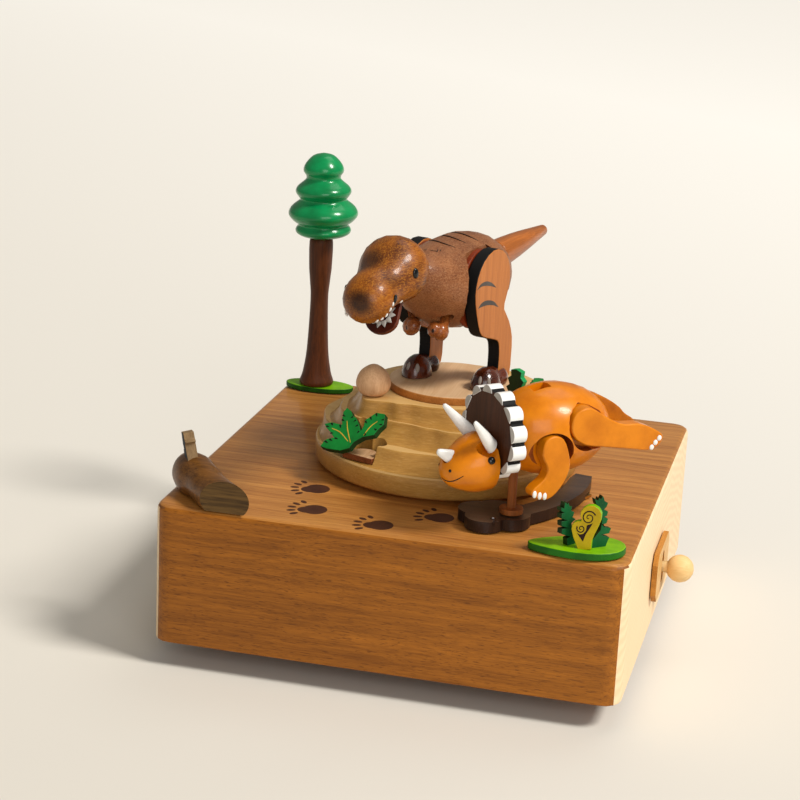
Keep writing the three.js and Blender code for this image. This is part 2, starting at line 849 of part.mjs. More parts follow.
// Bracket of the stop lever, drawn from the spindle like the bedplate that carries it
function leverBracket() {
  const x = wallX - leverPivotInset - spindleX;
  const y = knobY - spindleY;
  const foot = bedplateTop - glueGap;
  const top = knobZ + leverHubRadius;
  const inner = leverTailWidth / 2 + runningGap;
  const post = block(2 * leverHubRadius, leverPostWidth, top - foot);
  const middleZ = (top + foot) / 2;
  return [
    moved(post, x, y - inner - leverPostWidth / 2, middleZ),
    moved(post, x, y + inner + leverPostWidth / 2, middleZ),
    moved(rodAlongY(leverPinRadius, -inner - leverPostWidth, inner + leverPostWidth), x, y, knobZ),
  ];
}

// Movement, drawn from the spindle

function bracket(x, y, thickness, top, bore) {
  const height = top - bedplateTop + glueGap;
  const post = moved(block(thickness, bracketWidth, height), x, y, top - height / 2);
  return cut(post, moved(rodAlongX(bore, -overrun, overrun), x, y, top - bracketTop));
}

function pillarPlaces() {
  return [pillarTurn, 180 - pillarTurn, 270].map((angle) => [
    pillarReach * Math.cos(radians(angle)),
    pillarReach * Math.sin(radians(angle)),
  ]);
}

const innerBracketX = cylinderStart + cylinderGap / 2;
const cylinderGearX = cylinderEnd - smallGearThickness - runningGap;
const outerBracketX = cylinderGearX - vaneLength - bracketThickness - 2 * runningGap;
const bracketHeight = cylinderZ + bracketTop;
const combZ = cylinderZ - combThickness / 2;
const combTipY = -(cylinderRadius + pinHeight + combTipGap);

function buildBedplate() {
  const base = moved(
    plate(roundedRectangle(bedplateWidth, bedplateDepth, bedplateCorner), bedplateThickness),
    bedplateShift,
    0,
    bedplateZ,
  );
  const pillars = pillarPlaces().map(([x, y]) => moved(
    rod(pillarRadius, bedplateTop - glueGap, bridgeZ - glueGap),
    x,
    y,
    0,
  ));
  const bore = cylinderShaftRadius + shaftGap;
  const brackets = [
    bracket(outerBracketX, 0, bracketThickness, bracketHeight, bore),
    bracket(outerBracketX, governorReach, bracketThickness, bracketHeight, bore),
    bracket(cylinderEnd + cylinderGap, governorReach, bracketThickness, bracketHeight, bore),
  ];
  const combBlock = moved(
    block(cylinderLength, combBlockWidth, combZ - glueGap - bedplateTop + glueGap),
    (cylinderStart + cylinderEnd) / 2,
    combTipY - tineLength - combBackWidth / 2,
    (combZ - glueGap + bedplateTop - glueGap) / 2,
  );
  const arborHole = rod(arborRadius + shaftGap, bedplateZ - overrun, bedplateTop + overrun, drumSteps);
  const transferHole = moved(
    rod(transferShaftRadius + shaftGap, bedplateTop - bearingDepth, bedplateTop + overrun),
    0,
    transferReach,
    0,
  );
  const whole = join(base, ...pillars, ...brackets, combBlock, ...leverBracket());
  add(movementGroup, 'bedplate', cut(whole, arborHole, transferHole), brass);
}

function buildBridge() {
  const places = [...pillarPlaces(), [0, transferReach]];
  const arms = places.flatMap(([x, y]) => {
    const reach = Math.hypot(x, y);
    const arm = moved(block(reach, 2 * bridgeBossRadius, bridgeThickness), reach / 2, 0, bridgeThickness / 2);
    const boss = moved(rod(bridgeBossRadius, 0, bridgeThickness), x, y, 0);
    return [turned(arm, THREE.MathUtils.radToDeg(Math.atan2(y, x))), boss];
  });
  const hub = rod(bridgeHubRadius, 0, bridgeThickness, drumSteps);
  const opening = rod(postRadius + glueGap, -overrun, bridgeThickness + overrun, drumSteps);
  const bearing = moved(rod(transferShaftRadius + shaftGap, -overrun, bridgeThickness + overrun), 0, transferReach, 0);
  add(movementGroup, 'bridge', moved(cut(join(hub, ...arms), opening, bearing), 0, 0, bridgeZ), brass);
}

function buildCentrePost() {
  const top = discZ - discGap - runningGap;
  add(movementGroup, 'centre_post', tube(spindleRadius + shaftGap, postRadius, bridgeZ, top), brass);
}

function buildComb() {
  const tinePitch = cylinderLength / combTeeth;
  const slotWidthHere = tinePitch * tineSlotShare;
  const outline = [];
  for (let i = 0; i < combTeeth; i += 1) {
    const left = cylinderEnd + i * tinePitch + slotWidthHere / 2;
    const right = left + tinePitch - slotWidthHere;
    const root = combTipY - tineLength;
    outline.push([left, root], [left, combTipY], [right, combTipY], [right, root]);
  }
  const back = combTipY - tineLength - combBackWidth;
  outline.push([cylinderStart, back], [cylinderEnd, back]);
  const points = outline.map(([x, y]) => new THREE.Vector2(x, y));
  add(movementGroup, 'comb', plateAt(points, combThickness, combZ), steel);
}

// Winding base

function buildWindingBase() {
  const top = baseZ + baseThickness;
  const disc = lathe([
    [0, baseZ], [baseRadius - baseChamfer, baseZ], [baseRadius, baseZ + baseChamfer],
    [baseRadius, top - baseChamfer], [baseRadius - baseChamfer, top], [0, top],
  ], discSteps);
  const socket = rod(arborRadius + glueGap, top - arborSocketDepth, top + overrun, drumSteps);
  add(movementGroup, 'winding_base', cut(disc, socket), brownWood);
  add(movementGroup, 'base_pad', rod(padRadius, 0, padThickness, discSteps), felt);
  const arborFoot = top - arborSocketDepth + glueGap;
  add(movementGroup, 'winding_arbor', rod(arborRadius, arborFoot, driveGearZ - runningGap, drumSteps), steel);
}

// Spring barrel with its crown ring, mainspring, drive gear and spindle

function crownRing() {
  const low = crownZ;
  const inner = barrelRadius - barrelWall / 2;
  const outer = crownRadius + crownWidth / 2;
  const flange = tube(inner, outer, low, low + crownFlange, discSteps);
  const step = (2 * Math.PI) / crownTeeth;
  const halfRoot = (step * toothRootShare) / 2;
  const halfTip = (step * toothTipShare) / 2;
  const teeth = [];
  for (let i = 0; i < crownTeeth; i += 1) {
    const middle = Math.PI + i * step;
    const rings = [[halfRoot, -glueGap], [halfTip, crownToothHeight]].map(([half, rise]) => [
      [barrelRadius + crownInset, middle - half], [outer - glueGap, middle - half],
      [outer - glueGap, middle + half], [barrelRadius + crownInset, middle + half],
    ].map(([radius, angle]) => new THREE.Vector3(
      radius * Math.cos(angle),
      radius * Math.sin(angle),
      low + crownFlange + rise,
    )));
    teeth.push(skin(rings));
  }
  return [flange, ...teeth];
}

function buildBarrel() {
  const inner = barrelRadius - barrelWall;
  const drum = lathe([
    [arborRadius + shaftGap, barrelZ], [barrelRadius, barrelZ], [barrelRadius, barrelZ + barrelHeight],
    [inner, barrelZ + barrelHeight], [inner, barrelZ + barrelFloor],
    [arborRadius + shaftGap, barrelZ + barrelFloor], [arborRadius + shaftGap, barrelZ],
  ], discSteps);
  add(movementGroup, 'spring_barrel', join(drum, ...crownRing()), brass);
}

function buildMainspring() {
  const start = arborRadius + springClear;
  const stepsPerTurn = 12;
  const count = springTurns * stepsPerTurn;
  const inner = [];
  const outer = [];
  for (let i = 0; i <= count; i += 1) {
    const angle = (2 * Math.PI * i) / stepsPerTurn;
    const radius = start + (springPitch * i) / stepsPerTurn;
    inner.push(new THREE.Vector2(radius * Math.cos(angle), radius * Math.sin(angle)));
    const far = radius + springThickness;
    outer.push(new THREE.Vector2(far * Math.cos(angle), far * Math.sin(angle)));
  }
  const low = barrelZ + barrelFloor + springClear;
  const high = barrelZ + barrelHeight - springClear;
  add(movementGroup, 'mainspring', plateAt([...outer, ...inner.reverse()], high - low, low), steel);
}

function buildDriveGear() {
  const gear = plateAt(gearOutline(driveTeeth, gearModule, beside(90, driveTeeth)), gearThickness, driveGearZ);
  add(movementGroup, 'drive_gear', join(gear, rod(spindleRadius, driveGearZ, spindleTop, rodSteps)), brass);
}

function buildDisc() {
  const socket = rod(spindleRadius + glueGap, discZ - overrun, spindleTop + glueGap, rodSteps);
  add(movementGroup, 'turntable_disc', cut(rod(discRadius, discZ, discTop, hillSteps), socket), pinkWood);
}

// Transfer shaft with its two pinions, and the orbit gear

function buildTransferShaft() {
  const shaft = rod(transferShaftRadius, bedplateTop - bearingDepth + runningGap, orbitGearZ + gearThickness);
  const lower = plateAt(gearOutline(lowerPinionTeeth, gearModule, -90), gearThickness, driveGearZ);
  const gap = beside(-90, upperPinionTeeth);
  const upper = plateAt(gearOutline(upperPinionTeeth, gearModule, gap), gearThickness, orbitGearZ);
  add(movementGroup, 'transfer_pinions', moved(join(shaft, lower, upper), 0, transferReach, 0), brass);
}

function buildOrbitGear() {
  const bore = circle(postRadius + shaftGap, drumSteps);
  const wheel = plateAt(gearOutline(orbitTeeth, gearModule, 90), gearThickness, orbitGearZ, [bore]);
  const sleeve = tube(postRadius + shaftGap, hubRadius, orbitGearZ, orbitPlateZ - glueGap);
  add(movementGroup, 'orbit_gear', join(wheel, sleeve), brass);
}

function buildOrbitArm() {
  const bore = circle(postRadius + shaftGap, drumSteps);
  const disc = plateAt(circle(orbitPlateRadius, discSteps), orbitPlateThickness, orbitPlateZ, [bore]);
  const from = postRadius + 2 * hubWall;
  const tongue = turned(moved(
    block(armTongueReach - from, armTongueWidth, orbitPlateThickness),
    (armTongueReach + from) / 2,
    0,
    orbitPlateZ + orbitPlateThickness / 2,
  ), armAngle);
  add(movementGroup, 'orbit_arm', join(disc, tongue), darkWood);
}

function buildCarrier() {
  const steps = 8;
  const outer = [];
  const inner = [];
  for (let i = 0; i <= steps; i += 1) {
    const share = i / steps;
    const angle = radians(sickleStart + (sickleEnd - sickleStart) * share);
    const radius = sickleOuterStart + (sickleOuterEnd - sickleOuterStart) * share;
    const near = Math.max(sickleInner, radius - sickleWidth);
    outer.push(new THREE.Vector2(radius * Math.cos(angle), radius * Math.sin(angle)));
    inner.push(new THREE.Vector2(near * Math.cos(angle), near * Math.sin(angle)));
  }
  const sickle = plateAt([...outer, ...inner.reverse()], carrierThickness, carrierZ);
  const lobes = [[0, 0], [1.35, -0.25], [1.1, -1.35], [0.2, -1.15]].map(([along, aside]) => {
    const angle = radians(triHeading);
    const x = triX - spindleX + carrierLobes * (along * Math.cos(angle) - aside * Math.sin(angle));
    const y = triY - spindleY + carrierLobes * (along * Math.sin(angle) + aside * Math.cos(angle));
    return moved(rod(carrierLobes, carrierZ, carrierTop, figureSteps), x, y, 0);
  });
  const recess = turned(moved(
    block(armTongueReach + glueGap, armTongueWidth + 2 * glueGap, carrierThickness),
    (armTongueReach + glueGap) / 2,
    0,
    orbitPlateZ + orbitPlateThickness + glueGap - carrierThickness / 2,
  ), armAngle);
  add(movementGroup, 'carrier', cut(join(sickle, ...lobes), recess), darkWood);
}

// Hill

function tierRadius(shares, angle) {
  const place = ((angle / (2 * Math.PI)) * tierAngles + tierAngles) % tierAngles;
  const low = Math.floor(place);
  const share = place - low;
  const blend = (1 - Math.cos(Math.PI * share)) / 2;
  const from = shares[low % tierAngles];
  const to = shares[(low + 1) % tierAngles];
  return hillRadius * (from + (to - from) * blend);
}

// Stations of the hill from its underside, up over the tiers, to the bore: radius and height
function hillProfile(angle) {
  const rim = hillRadius + hillShiftX * Math.cos(angle) + hillShiftY * Math.sin(angle);
  const bottom = deckZ + hillLift;
  const softening = edgeRound / 4;
  const profile = [
    [rim - 2 * softening, bottom], [rim, bottom + 2 * edgeRound], [rim, deckZ + rimHeight - 2 * softening],
    [rim - softening, deckZ + rimHeight],
  ];
  const tiers = [
    [secondTierShares, rimHeight, secondTierHeight],
    [thirdTierShares, secondTierHeight, thirdTierHeight],
    [topTierShares, thirdTierHeight, hillHeight],
  ];
  let outside = rim - softening;
  tiers.forEach(([shares, low, high]) => {
    const edge = Math.min(tierRadius(shares, angle), outside - 2 * softening);
    const run = Math.min(tierRun, (outside - edge) * 0.75);
    const dip = treadDip * (run / tierRun);
    [[1, 0], [0.5, 0.3], [0.15, 0.74]].forEach(([out, up]) => {
      profile.push([edge + run * out, deckZ + low - dip + (high - low + dip) * up]);
    });
    profile.push([edge - softening, deckZ + high]);
    outside = edge - softening;
  });
  const recessRadius = discRadius + runningGap;
  const bore = postRadius + glueGap;
  profile.push([recessRadius, hillTop], [recessRadius, discZ - discGap], [bore, discZ - discGap], [bore, bottom]);
  return profile;
}

function buildHill() {
  const profiles = [];
  for (let i = 0; i < hillSteps; i += 1) {
    const angle = (2 * Math.PI * i) / hillSteps;
    profiles.push(hillProfile(angle).map(([radius, z]) => new THREE.Vector3(
      radius * Math.cos(angle),
      radius * Math.sin(angle),
      z,
    )));
  }
  const rings = profiles[0].map((unused, level) => profiles.map((profile) => profile[level]));
  const nest = nestOutline(glueGap + runningGap);
  const pocketZ = deckZ + rimHeight - nestSink;
  const pocket = moved(plate(nest, nestThickness + secondTierHeight), nestX - spindleX, nestY - spindleY, pocketZ);
  const turn = radians(nestTurn);
  const scoops = [-1, 1].map((side) => {
    const across = side * nestScoopSpread;
    const x = nestX - spindleX + across * Math.cos(turn) + nestScoopDepth * Math.sin(turn);
    const y = nestY - spindleY + across * Math.sin(turn) - nestScoopDepth * Math.cos(turn);
    return moved(rod(nestScoop, pocketZ, pocketZ + secondTierHeight, drumSteps), x, y, 0);
  });
  add(movementGroup, 'hill', cut(skin(rings, true), pocket, ...scoops), paleWood);
}

function nestOutline(growth) {
  const points = [];
  const steps = 10;
  for (let i = 0; i <= steps; i += 1) {
    const angle = Math.PI + (Math.PI * i) / steps;
    points.push([
      (nestWidth / 2 + growth) * Math.cos(angle),
      (nestDepth + growth) * Math.sin(angle) + growth,
    ]);
  }
  const turn = radians(nestTurn);
  return points.map(([x, y]) => new THREE.Vector2(
    x * Math.cos(turn) - y * Math.sin(turn),
    x * Math.sin(turn) + y * Math.cos(turn),
  ));
}

function buildHillPieces() {
  const egg = lathe([
    [0, 0], [0.5, 0], [0.86, 0.16], [1, 0.36], [0.94, 0.58], [0.74, 0.8], [0.42, 0.95], [0, 1],
  ].map(([radius, z]) => [(radius * eggDiameter) / 2, z * eggHeight]), figureSteps);
  add(housingGroup, 'egg', moved(egg, eggX, eggY, hillTop + glueGap), pinkWood);
  const nest = plate(nestOutline(0), nestThickness);
  add(housingGroup, 'nest', moved(nest, nestX, nestY, deckZ + rimHeight - nestSink + glueGap), pinkWood);
  buildLeafCluster();
  const upright = standingPlate(leafOutline(uprightLeafHeight, uprightLeafWidth, 4), leafThickness);
  add(
    housingGroup,
    'upright_leaf',
    moved(turned(upright, uprightLeafTurn), uprightLeafX, uprightLeafY, hillTop + glueGap),
    greenPaint,
  );
  const flat = plate(leafOutline(sideLeafLength, sideLeafWidth, 5), leafThickness);
  const side = turned(moved(flat, 0, -sideLeafLength / 2, 0), sideLeafTurn - 90);
  add(housingGroup, 'side_leaf', moved(side, sideLeafX, sideLeafY, hillTop + glueGap), greenPaint);
}

function buildLeafCluster() {
  const leaves = [[80, 1], [51, 0.95], [2, 0.95], [-13, 0.98], [112, 0.68]].map(([lean, share]) => turned(
    plate(leafOutline(leafLength * share, leafWidth, 5), leafThickness),
    lean,
  ));
  const heart = rod(leafWidth / 3, 0, leafThickness, 10);
  const cluster = join(heart, ...leaves);
  const tilted = cluster.rotateX(radians(leafClusterSlope));
  const facing = turned(tilted, leafClusterFacing - 270);
  add(
    housingGroup,
    'leaf_cluster',
    moved(facing, leafClusterX, leafClusterY, deckZ + leafClusterRise),
    greenPaint,
  );
}

// Tree, ferns and stone on the deck

function buildTree() {
  const oval = circle(treeBaseLength / 2, discSteps).map((point) => new THREE.Vector2(
    point.x,
    (point.y * treeBaseWidth) / treeBaseLength,
  ));
  const groundZ = deckZ + glueGap;
  add(housingGroup, 'tree_base', moved(plate(oval, groundPlateThickness), treeX, treeY, groundZ), limePaint);
  const footZ = groundPlateThickness + 2 * glueGap;
  const trunk = lathe([
    [0, footZ], [1, footZ], [0.86, footZ + trunkTop * 0.1], [0.66, footZ + trunkTop * 0.26],
    [0.54, trunkTop * 0.58], [0.62, trunkTop * 0.72], [0.7, trunkTop * 0.83], [0.66, trunkTop], [0, trunkTop],
  ].map(([radius, z]) => [radius * trunkFootRadius, z]), figureSteps);
  add(housingGroup, 'tree_trunk', moved(trunk, treeX, treeY, deckZ), barkWood);
  const rise = canopyTop - canopyBottom;
  const crown = lathe([
    [0, 0], [0.62, 0], [0.78, 0.05], [0.8, 0.1], [0.77, 0.16], [0.9, 0.22], [1, 0.28], [0.92, 0.36],
    [0.74, 0.45], [0.7, 0.49], [0.78, 0.54], [0.72, 0.6], [0.54, 0.69], [0.48, 0.73], [0.56, 0.79],
    [0.5, 0.87], [0.3, 0.96], [0, 1],
  ].map(([radius, z]) => [radius * canopyRadius, canopyBottom + z * rise]), discSteps / 2);
  add(housingGroup, 'tree_canopy', moved(crown, treeX, treeY, deckZ), canopyPaint);
}

function curlOutlines() {
  const largeX = curlLargeRadius * 0.35;
  const largeZ = curlHeight - curlLargeRadius;
  const smallX = -curlSmallRadius * 1.15;
  const smallZ = curlHeight * 0.56;
  const stem = (x, z, out) => [
    [-curlStem / 2, 0], [curlStem / 2, 0], [x + out, z], [x + out - curlStem, z],
  ].map(([px, pz]) => new THREE.Vector2(px, pz));
  return [
    circle(curlLargeRadius, 18, largeX, largeZ),
    circle(curlSmallRadius, 14, smallX, smallZ),
    stem(largeX, largeZ, curlLargeRadius),
    stem(smallX, smallZ, curlStem - curlSmallRadius),
  ];
}

function buildFerns() {
  const steps = 24;
  const half = fernBaseLength / 2;
  const blade = [];
  for (let i = 0; i < steps; i += 1) {
    const angle = (2 * Math.PI * i) / steps;
    const taper = 0.72 + 0.28 * Math.cos(angle);
    blade.push(new THREE.Vector2(half * Math.cos(angle), (fernBaseWidth / 2) * taper * Math.sin(angle)));
  }
  const base = turned(plate(blade, groundPlateThickness), fernBaseTurn);
  add(housingGroup, 'fern_base', moved(base, fernBaseX, fernBaseY, deckZ + glueGap), limePaint);
  const seatZ = deckZ + groundPlateThickness + 2 * glueGap;
  const left = standingPlate(leafOutline(leftFernHeight, fernWidth, 6), fernThickness);
  add(housingGroup, 'fern_left', moved(turned(left, leftFernTurn), leftFernX, leftFernY, seatZ), greenPaint);
  const right = standingPlate(leafOutline(rightFernHeight, fernWidth, 7), fernThickness);
  add(housingGroup, 'fern_right', moved(turned(right, rightFernTurn), rightFernX, rightFernY, seatZ), greenPaint);
  const curl = join(...curlOutlines().map((outline) => standingPlate(outline, fernThickness)));
  add(housingGroup, 'fiddlehead', moved(curl, curlX, curlY, seatZ), olivePaint);
}

function sproutSolid(growth) {
  const half = sproutWidth / 2 + growth;
  const outline = [
    [-half, 0], [half, 0], [half * 0.9, 0.45], [half * 0.62, 0.5], [half * 0.8, 0.62], [half * 0.66, 1],
    [-half * 0.35, 1], [-half * 0.5, 0.8], [-half * 0.9, 0.74], [-half * 0.45, 0.66], [-half * 0.6, 0.4],
  ].map(([x, share]) => new THREE.Vector2(x, share * (sproutHeight + growth)));
  const stood = standingPlate(outline, sproutThickness + 2 * growth);
  return moved(turned(stood, sproutTurn), sproutX, stoneY, deckZ + glueGap + stoneHeight - sproutSink - growth);
}

function buildStone() {
  const profile = [
    [0, 0], [0.72, 0], [0.93, 0.18], [1, 0.38], [0.95, 0.58], [0.72, 0.8], [0.5, 0.93], [0.3, 1], [0, 1],
  ];
  const bulb = lathe(profile.map(([radius, z]) => [radius * stoneRadius, z * stoneHeight]), figureSteps);
  const lobe = lathe(
    profile.map(([radius, z]) => [radius * stoneLobeRadius, z * stoneLobeHeight]),
    figureSteps,
  );
  const whole = join(
    moved(bulb, stoneX, stoneY, deckZ + glueGap),
    moved(lobe, stoneLobeX, stoneLobeY, deckZ + glueGap),
  );
  const blade = block(4 * stoneRadius, 2 * stoneRadius, 4 * stoneHeight);
  const face = moved(blade, stoneLobeX, stoneFaceY - stoneRadius, deckZ);
  add(housingGroup, 'rock_gourd', cut(whole, face, sproutSolid(glueGap)), pinkWood);
  add(housingGroup, 'sprout', sproutSolid(0), walnut);
}

// Pinned cylinder and governor

function cylinderGearAt(teeth, module, toothAngle, from) {
  const wheel = plate(gearOutline(teeth, module, toothAngle), smallGearThickness);
  return moved(wheel.rotateY(Math.PI / 2), from, 0, 0);
}

function buildCylinder() {
  const drum = rodAlongX(cylinderRadius, cylinderEnd, cylinderStart, figureSteps);
  const pinion = plate(gearOutline(cylinderPinionTeeth, crownModule, beside(0, cylinderPinionTeeth)), crownWidth).rotateY(Math.PI / 2);
  const pinionStart = -(crownRadius + crownWidth / 2);
  const shaft = rodAlongX(cylinderShaftRadius, outerBracketX - bracketThickness / 2, pinionStart + crownWidth);
  const gear = cylinderGearAt(cylinderGearTeeth, brakeModule, 90, cylinderGearX);
  const pins = [];
  for (let row = 0; row < pinRows; row += 1) {
    const x = cylinderEnd + ((row + 0.5) * cylinderLength) / pinRows;
    for (let i = 0; i < pinsPerRow; i += 1) {
      const turn = row * 47 + i * 113;
      const pin = rod(pinRadius, cylinderRadius - pinHeight, cylinderRadius + pinHeight, 4);
      pins.push(moved(pin.rotateX(radians(turn)), x, 0, 0));
    }
  }
  const whole = join(drum, moved(pinion, pinionStart, 0, 0), shaft, gear, ...pins);
  add(movementGroup, 'pin_cylinder', moved(whole, 0, 0, cylinderZ), brass);
}

function buildGovernor() {
  const pinion = cylinderGearAt(governorTeeth, brakeModule, beside(-90, governorTeeth), cylinderGearX);
  const shaftEnd = cylinderEnd + cylinderGap + bracketThickness / 2;
  const shaft = rodAlongX(cylinderShaftRadius, outerBracketX - bracketThickness / 2, shaftEnd);
  const vaneX = cylinderGearX - runningGap - vaneLength / 2;
  const vane = moved(block(vaneLength, 2 * vaneRadius, vaneThickness), vaneX, 0, 0);
  add(movementGroup, 'governor', moved(join(pinion, shaft, vane), 0, governorReach, cylinderZ), steel);
}

// Tyrannosaur, drawn from the middle between its feet, facing +X, on the top of its disc

function rexBody() {
  return bodyAlongX(rexBodyShares.map(([along, wide, tall, rise]) => [
    rexBodyBack + along * rexBodyLength,
    (wide * rexBodyDiameter) / 2,
    (tall * rexBodyDiameter) / 2,
    rexBodyHeight + rise * rexBodyRise,
  ]), 15);
}

function rexHead() {
  return bodyAlongX(rexHeadShares.map(([along, wide, tall, rise]) => [
    rexSkullX + along * rexSkullRadius,
    wide * rexSkullRadius,
    tall * rexSkullRadius,
    rexSkullHeight + rise * rexSkullRadius,
  ]), 16);
}

function rexMouthCut() {
  const reach = 3 * rexSkullRadius;
  const corner = (degrees) => new THREE.Vector2(
    rexMouthX + reach * Math.cos(radians(degrees)),
    rexMouthHeight + reach * Math.sin(radians(degrees)),
  );
  const back = rexJawThickness + 2 * glueGap;
  const sideways = radians(rexJawSlope - 90);
  const low = corner(rexJawSlope);
  const outline = [
    new THREE.Vector2(rexMouthX, rexMouthHeight), corner(rexMouthSlope), low,
    new THREE.Vector2(low.x + back * Math.cos(sideways), low.y + back * Math.sin(sideways)),
    new THREE.Vector2(rexMouthX + back * Math.cos(sideways), rexMouthHeight + back * Math.sin(sideways)),
  ];
  return standingPlate(outline, 4 * rexSkullRadius);
}

function buildRexHead() {
  add(rexGroup, 'rex_head', cut(rexHead(), rexMouthCut(), grown(rexBody(), glueGap)), redWood);
  const outline = [];
  const steps = 12;
  const half = rexJawWidth / 2;
  outline.push(new THREE.Vector2(0, -half * 0.8));
  for (let i = 0; i <= steps; i += 1) {
    const angle = -Math.PI / 2 + (Math.PI * i) / steps;
    outline.push(new THREE.Vector2(rexJawLength - half + half * Math.cos(angle), half * Math.sin(angle)));
  }
  outline.push(new THREE.Vector2(0, half * 0.8));
  const board = moved(plate(outline, rexJawThickness), glueGap, 0, -rexJawThickness - glueGap);
  const sloped = board.rotateY(radians(-rexJawSlope));
  add(rexGroup, 'rex_jaw', moved(sloped, rexMouthX, 0, rexMouthHeight), redWood);
}

// A copy that is larger by a margin on every side, from its middle
function grown(geometry, margin) {
  const copy = geometry.clone();
  copy.computeBoundingBox();
  const size = copy.boundingBox.getSize(new THREE.Vector3());
  const middle = copy.boundingBox.getCenter(new THREE.Vector3());
  copy.translate(-middle.x, -middle.y, -middle.z);
  copy.scale(1 + (2 * margin) / size.x, 1 + (2 * margin) / size.y, 1 + (2 * margin) / size.z);
  return copy.translate(middle.x, middle.y, middle.z);
}

function buildRexBody() {
  const pockets = [1, -1].flatMap((side) => [
    moved(
      rodAlongY(rexHipRadius + hipMargin, -rexBodyDiameter / 2, rexBodyDiameter / 2, drumSteps),
      rexHipX + rexHipForward,
      side * (rexFlat + rexBodyDiameter / 2),
      rexHipHeight,
    ),
    moved(rexLeg(glueGap, rexBodyDiameter), 0, side * (rexLegInside() - glueGap + rexBodyDiameter / 2), 0),
  ]);
  const arms = [1, -1].map((side) => rexArm(side, glueGap));
  const body = cut(rexBody(), ...pockets, ...arms, rexTail(glueGap));
  add(rexGroup, 'rex_body', body, redWood);
}

function rexTail(growth) {
  const steps = 5;
  const bulgeShare = 0.12;
  const rings = [];
  for (let i = 0; i <= steps; i += 1) {
    const share = i / steps;
    const bulge = 1 + bulgeShare * Math.sin(Math.PI * share);
    rings.push([(rexTailRadius + (rexTailTipRadius - rexTailRadius) * share) * bulge, share]);
  }
  rings.push([rexTailTipRadius / 2, 1 + rexTailTipRadius / rexTailLength]);
  const front = rexTailRoot + growth;
  return skin(rings.map(([radius, share]) => circle(radius + growth, figureSteps).map(
    (point) => new THREE.Vector3(
      front - (rexTailLength + 2 * growth) * share,
      point.x,
      rexTailHeight + rexTailRise * share + point.y,
    ),
  )));
}

function buildRexTail() {
  add(rexGroup, 'rex_tail', rexTail(0), tanPly);
}

function rexLegInside() {
  return rexFlat + rexHipThickness + 2 * glueGap;
}

function rexLeg(growth, thickness) {
  const outline = offsetOutline(sharedOutline(rexLegShares, rexLegHeight, 44), growth);
  return moved(standingPlate(outline, thickness), rexHipX, 0, rexLegFoot);
}

function buildRexLegs() {
  const discY = rexFlat + glueGap + rexHipThickness / 2;
  const legY = rexLegInside() + rexLegThickness / 2;
  const foot = rexFoot();
  [['near', 1], ['far', -1]].forEach(([side, sign]) => {
    const disc = rodAlongY(rexHipRadius, -rexHipThickness / 2, rexHipThickness / 2, drumSteps);
    add(rexGroup, `rex_hip_${side}`, moved(disc, rexHipX + rexHipForward, sign * discY, rexHipHeight), redWood);
    add(rexGroup, `rex_leg_${side}`, moved(rexLeg(0, rexLegThickness), 0, sign * legY, 0), tanPly);
    const slot = moved(rexLeg(glueGap, rexLegThickness + 2 * glueGap), 0, sign * legY, 0);
    const slotted = cut(moved(foot, rexFootForward, sign * legY, 0), slot);
    add(rexGroup, `rex_foot_${side}`, slotted, walnut);
  });
}

function rexFoot() {
  const dome = moved(
    ball(1, figureSteps).scale(rexFootLength * 0.42, rexFootWidth / 2, rexFootHeight * 1.02),
    rexFootLength * 0.1,
    0,
    0,
  );
  const heel = moved(ball(rexHeelRadius, figureSteps), -rexFootLength * 0.42, 0, rexHeelRadius * 0.5);
  const bridge = rodAlongX(rexHeelRadius * 0.8, -rexFootLength * 0.42, 0);
  const floor = moved(block(4 * rexFootLength, 4 * rexFootWidth, 4 * rexFootHeight), 0, 0, -2 * rexFootHeight + glueGap);
  return cut(join(dome, heel, moved(bridge, 0, 0, rexHeelRadius * 0.8)), floor);
}

function rexArm(sign, growth) {
  const shoulder = new THREE.Vector3(rexShoulderX, sign * rexArmSpread, rexShoulderHeight);
  const wrist = new THREE.Vector3(rexFistX, sign * rexArmSpread, rexFistHeight);
  const direction = wrist.clone().sub(shoulder);
  const bar = rod(rexArmRadius + growth, -growth, direction.length(), rodSteps);
  const turn = new THREE.Quaternion().setFromUnitVectors(new THREE.Vector3(0, 0, 1), direction.normalize());
  const placed = bar.applyQuaternion(turn).translate(shoulder.x, shoulder.y, shoulder.z);
  const fist = moved(ball(rexFistRadius + growth, rodSteps), rexFistX, sign * rexArmSpread, rexFistHeight);
  const thumb = moved(
    ball(rexThumbRadius + growth, rodSteps),
    rexFistX + rexThumbForward,
    sign * (rexArmSpread - rexThumbInward),
    rexFistHeight + rexThumbRise,
  );
  return join(placed, fist, thumb);
}

function buildRexArms() {
  add(rexGroup, 'rex_arm_near', rexArm(1, 0), redWood);
  add(rexGroup, 'rex_arm_far', rexArm(-1, 0), redWood);
}

// Triceratops, drawn from its stem, facing +X, with z from the deck

function triBody() {
  return bodyAlongX(triBodyShares.map(([along, wide, tall]) => [
    triBodyFront - along * triBodyLength,
    (wide * triBodyDiameter) / 2,
    (tall * triBodyDiameter) / 2,
    triBodyHeight,
  ]), 14);
}

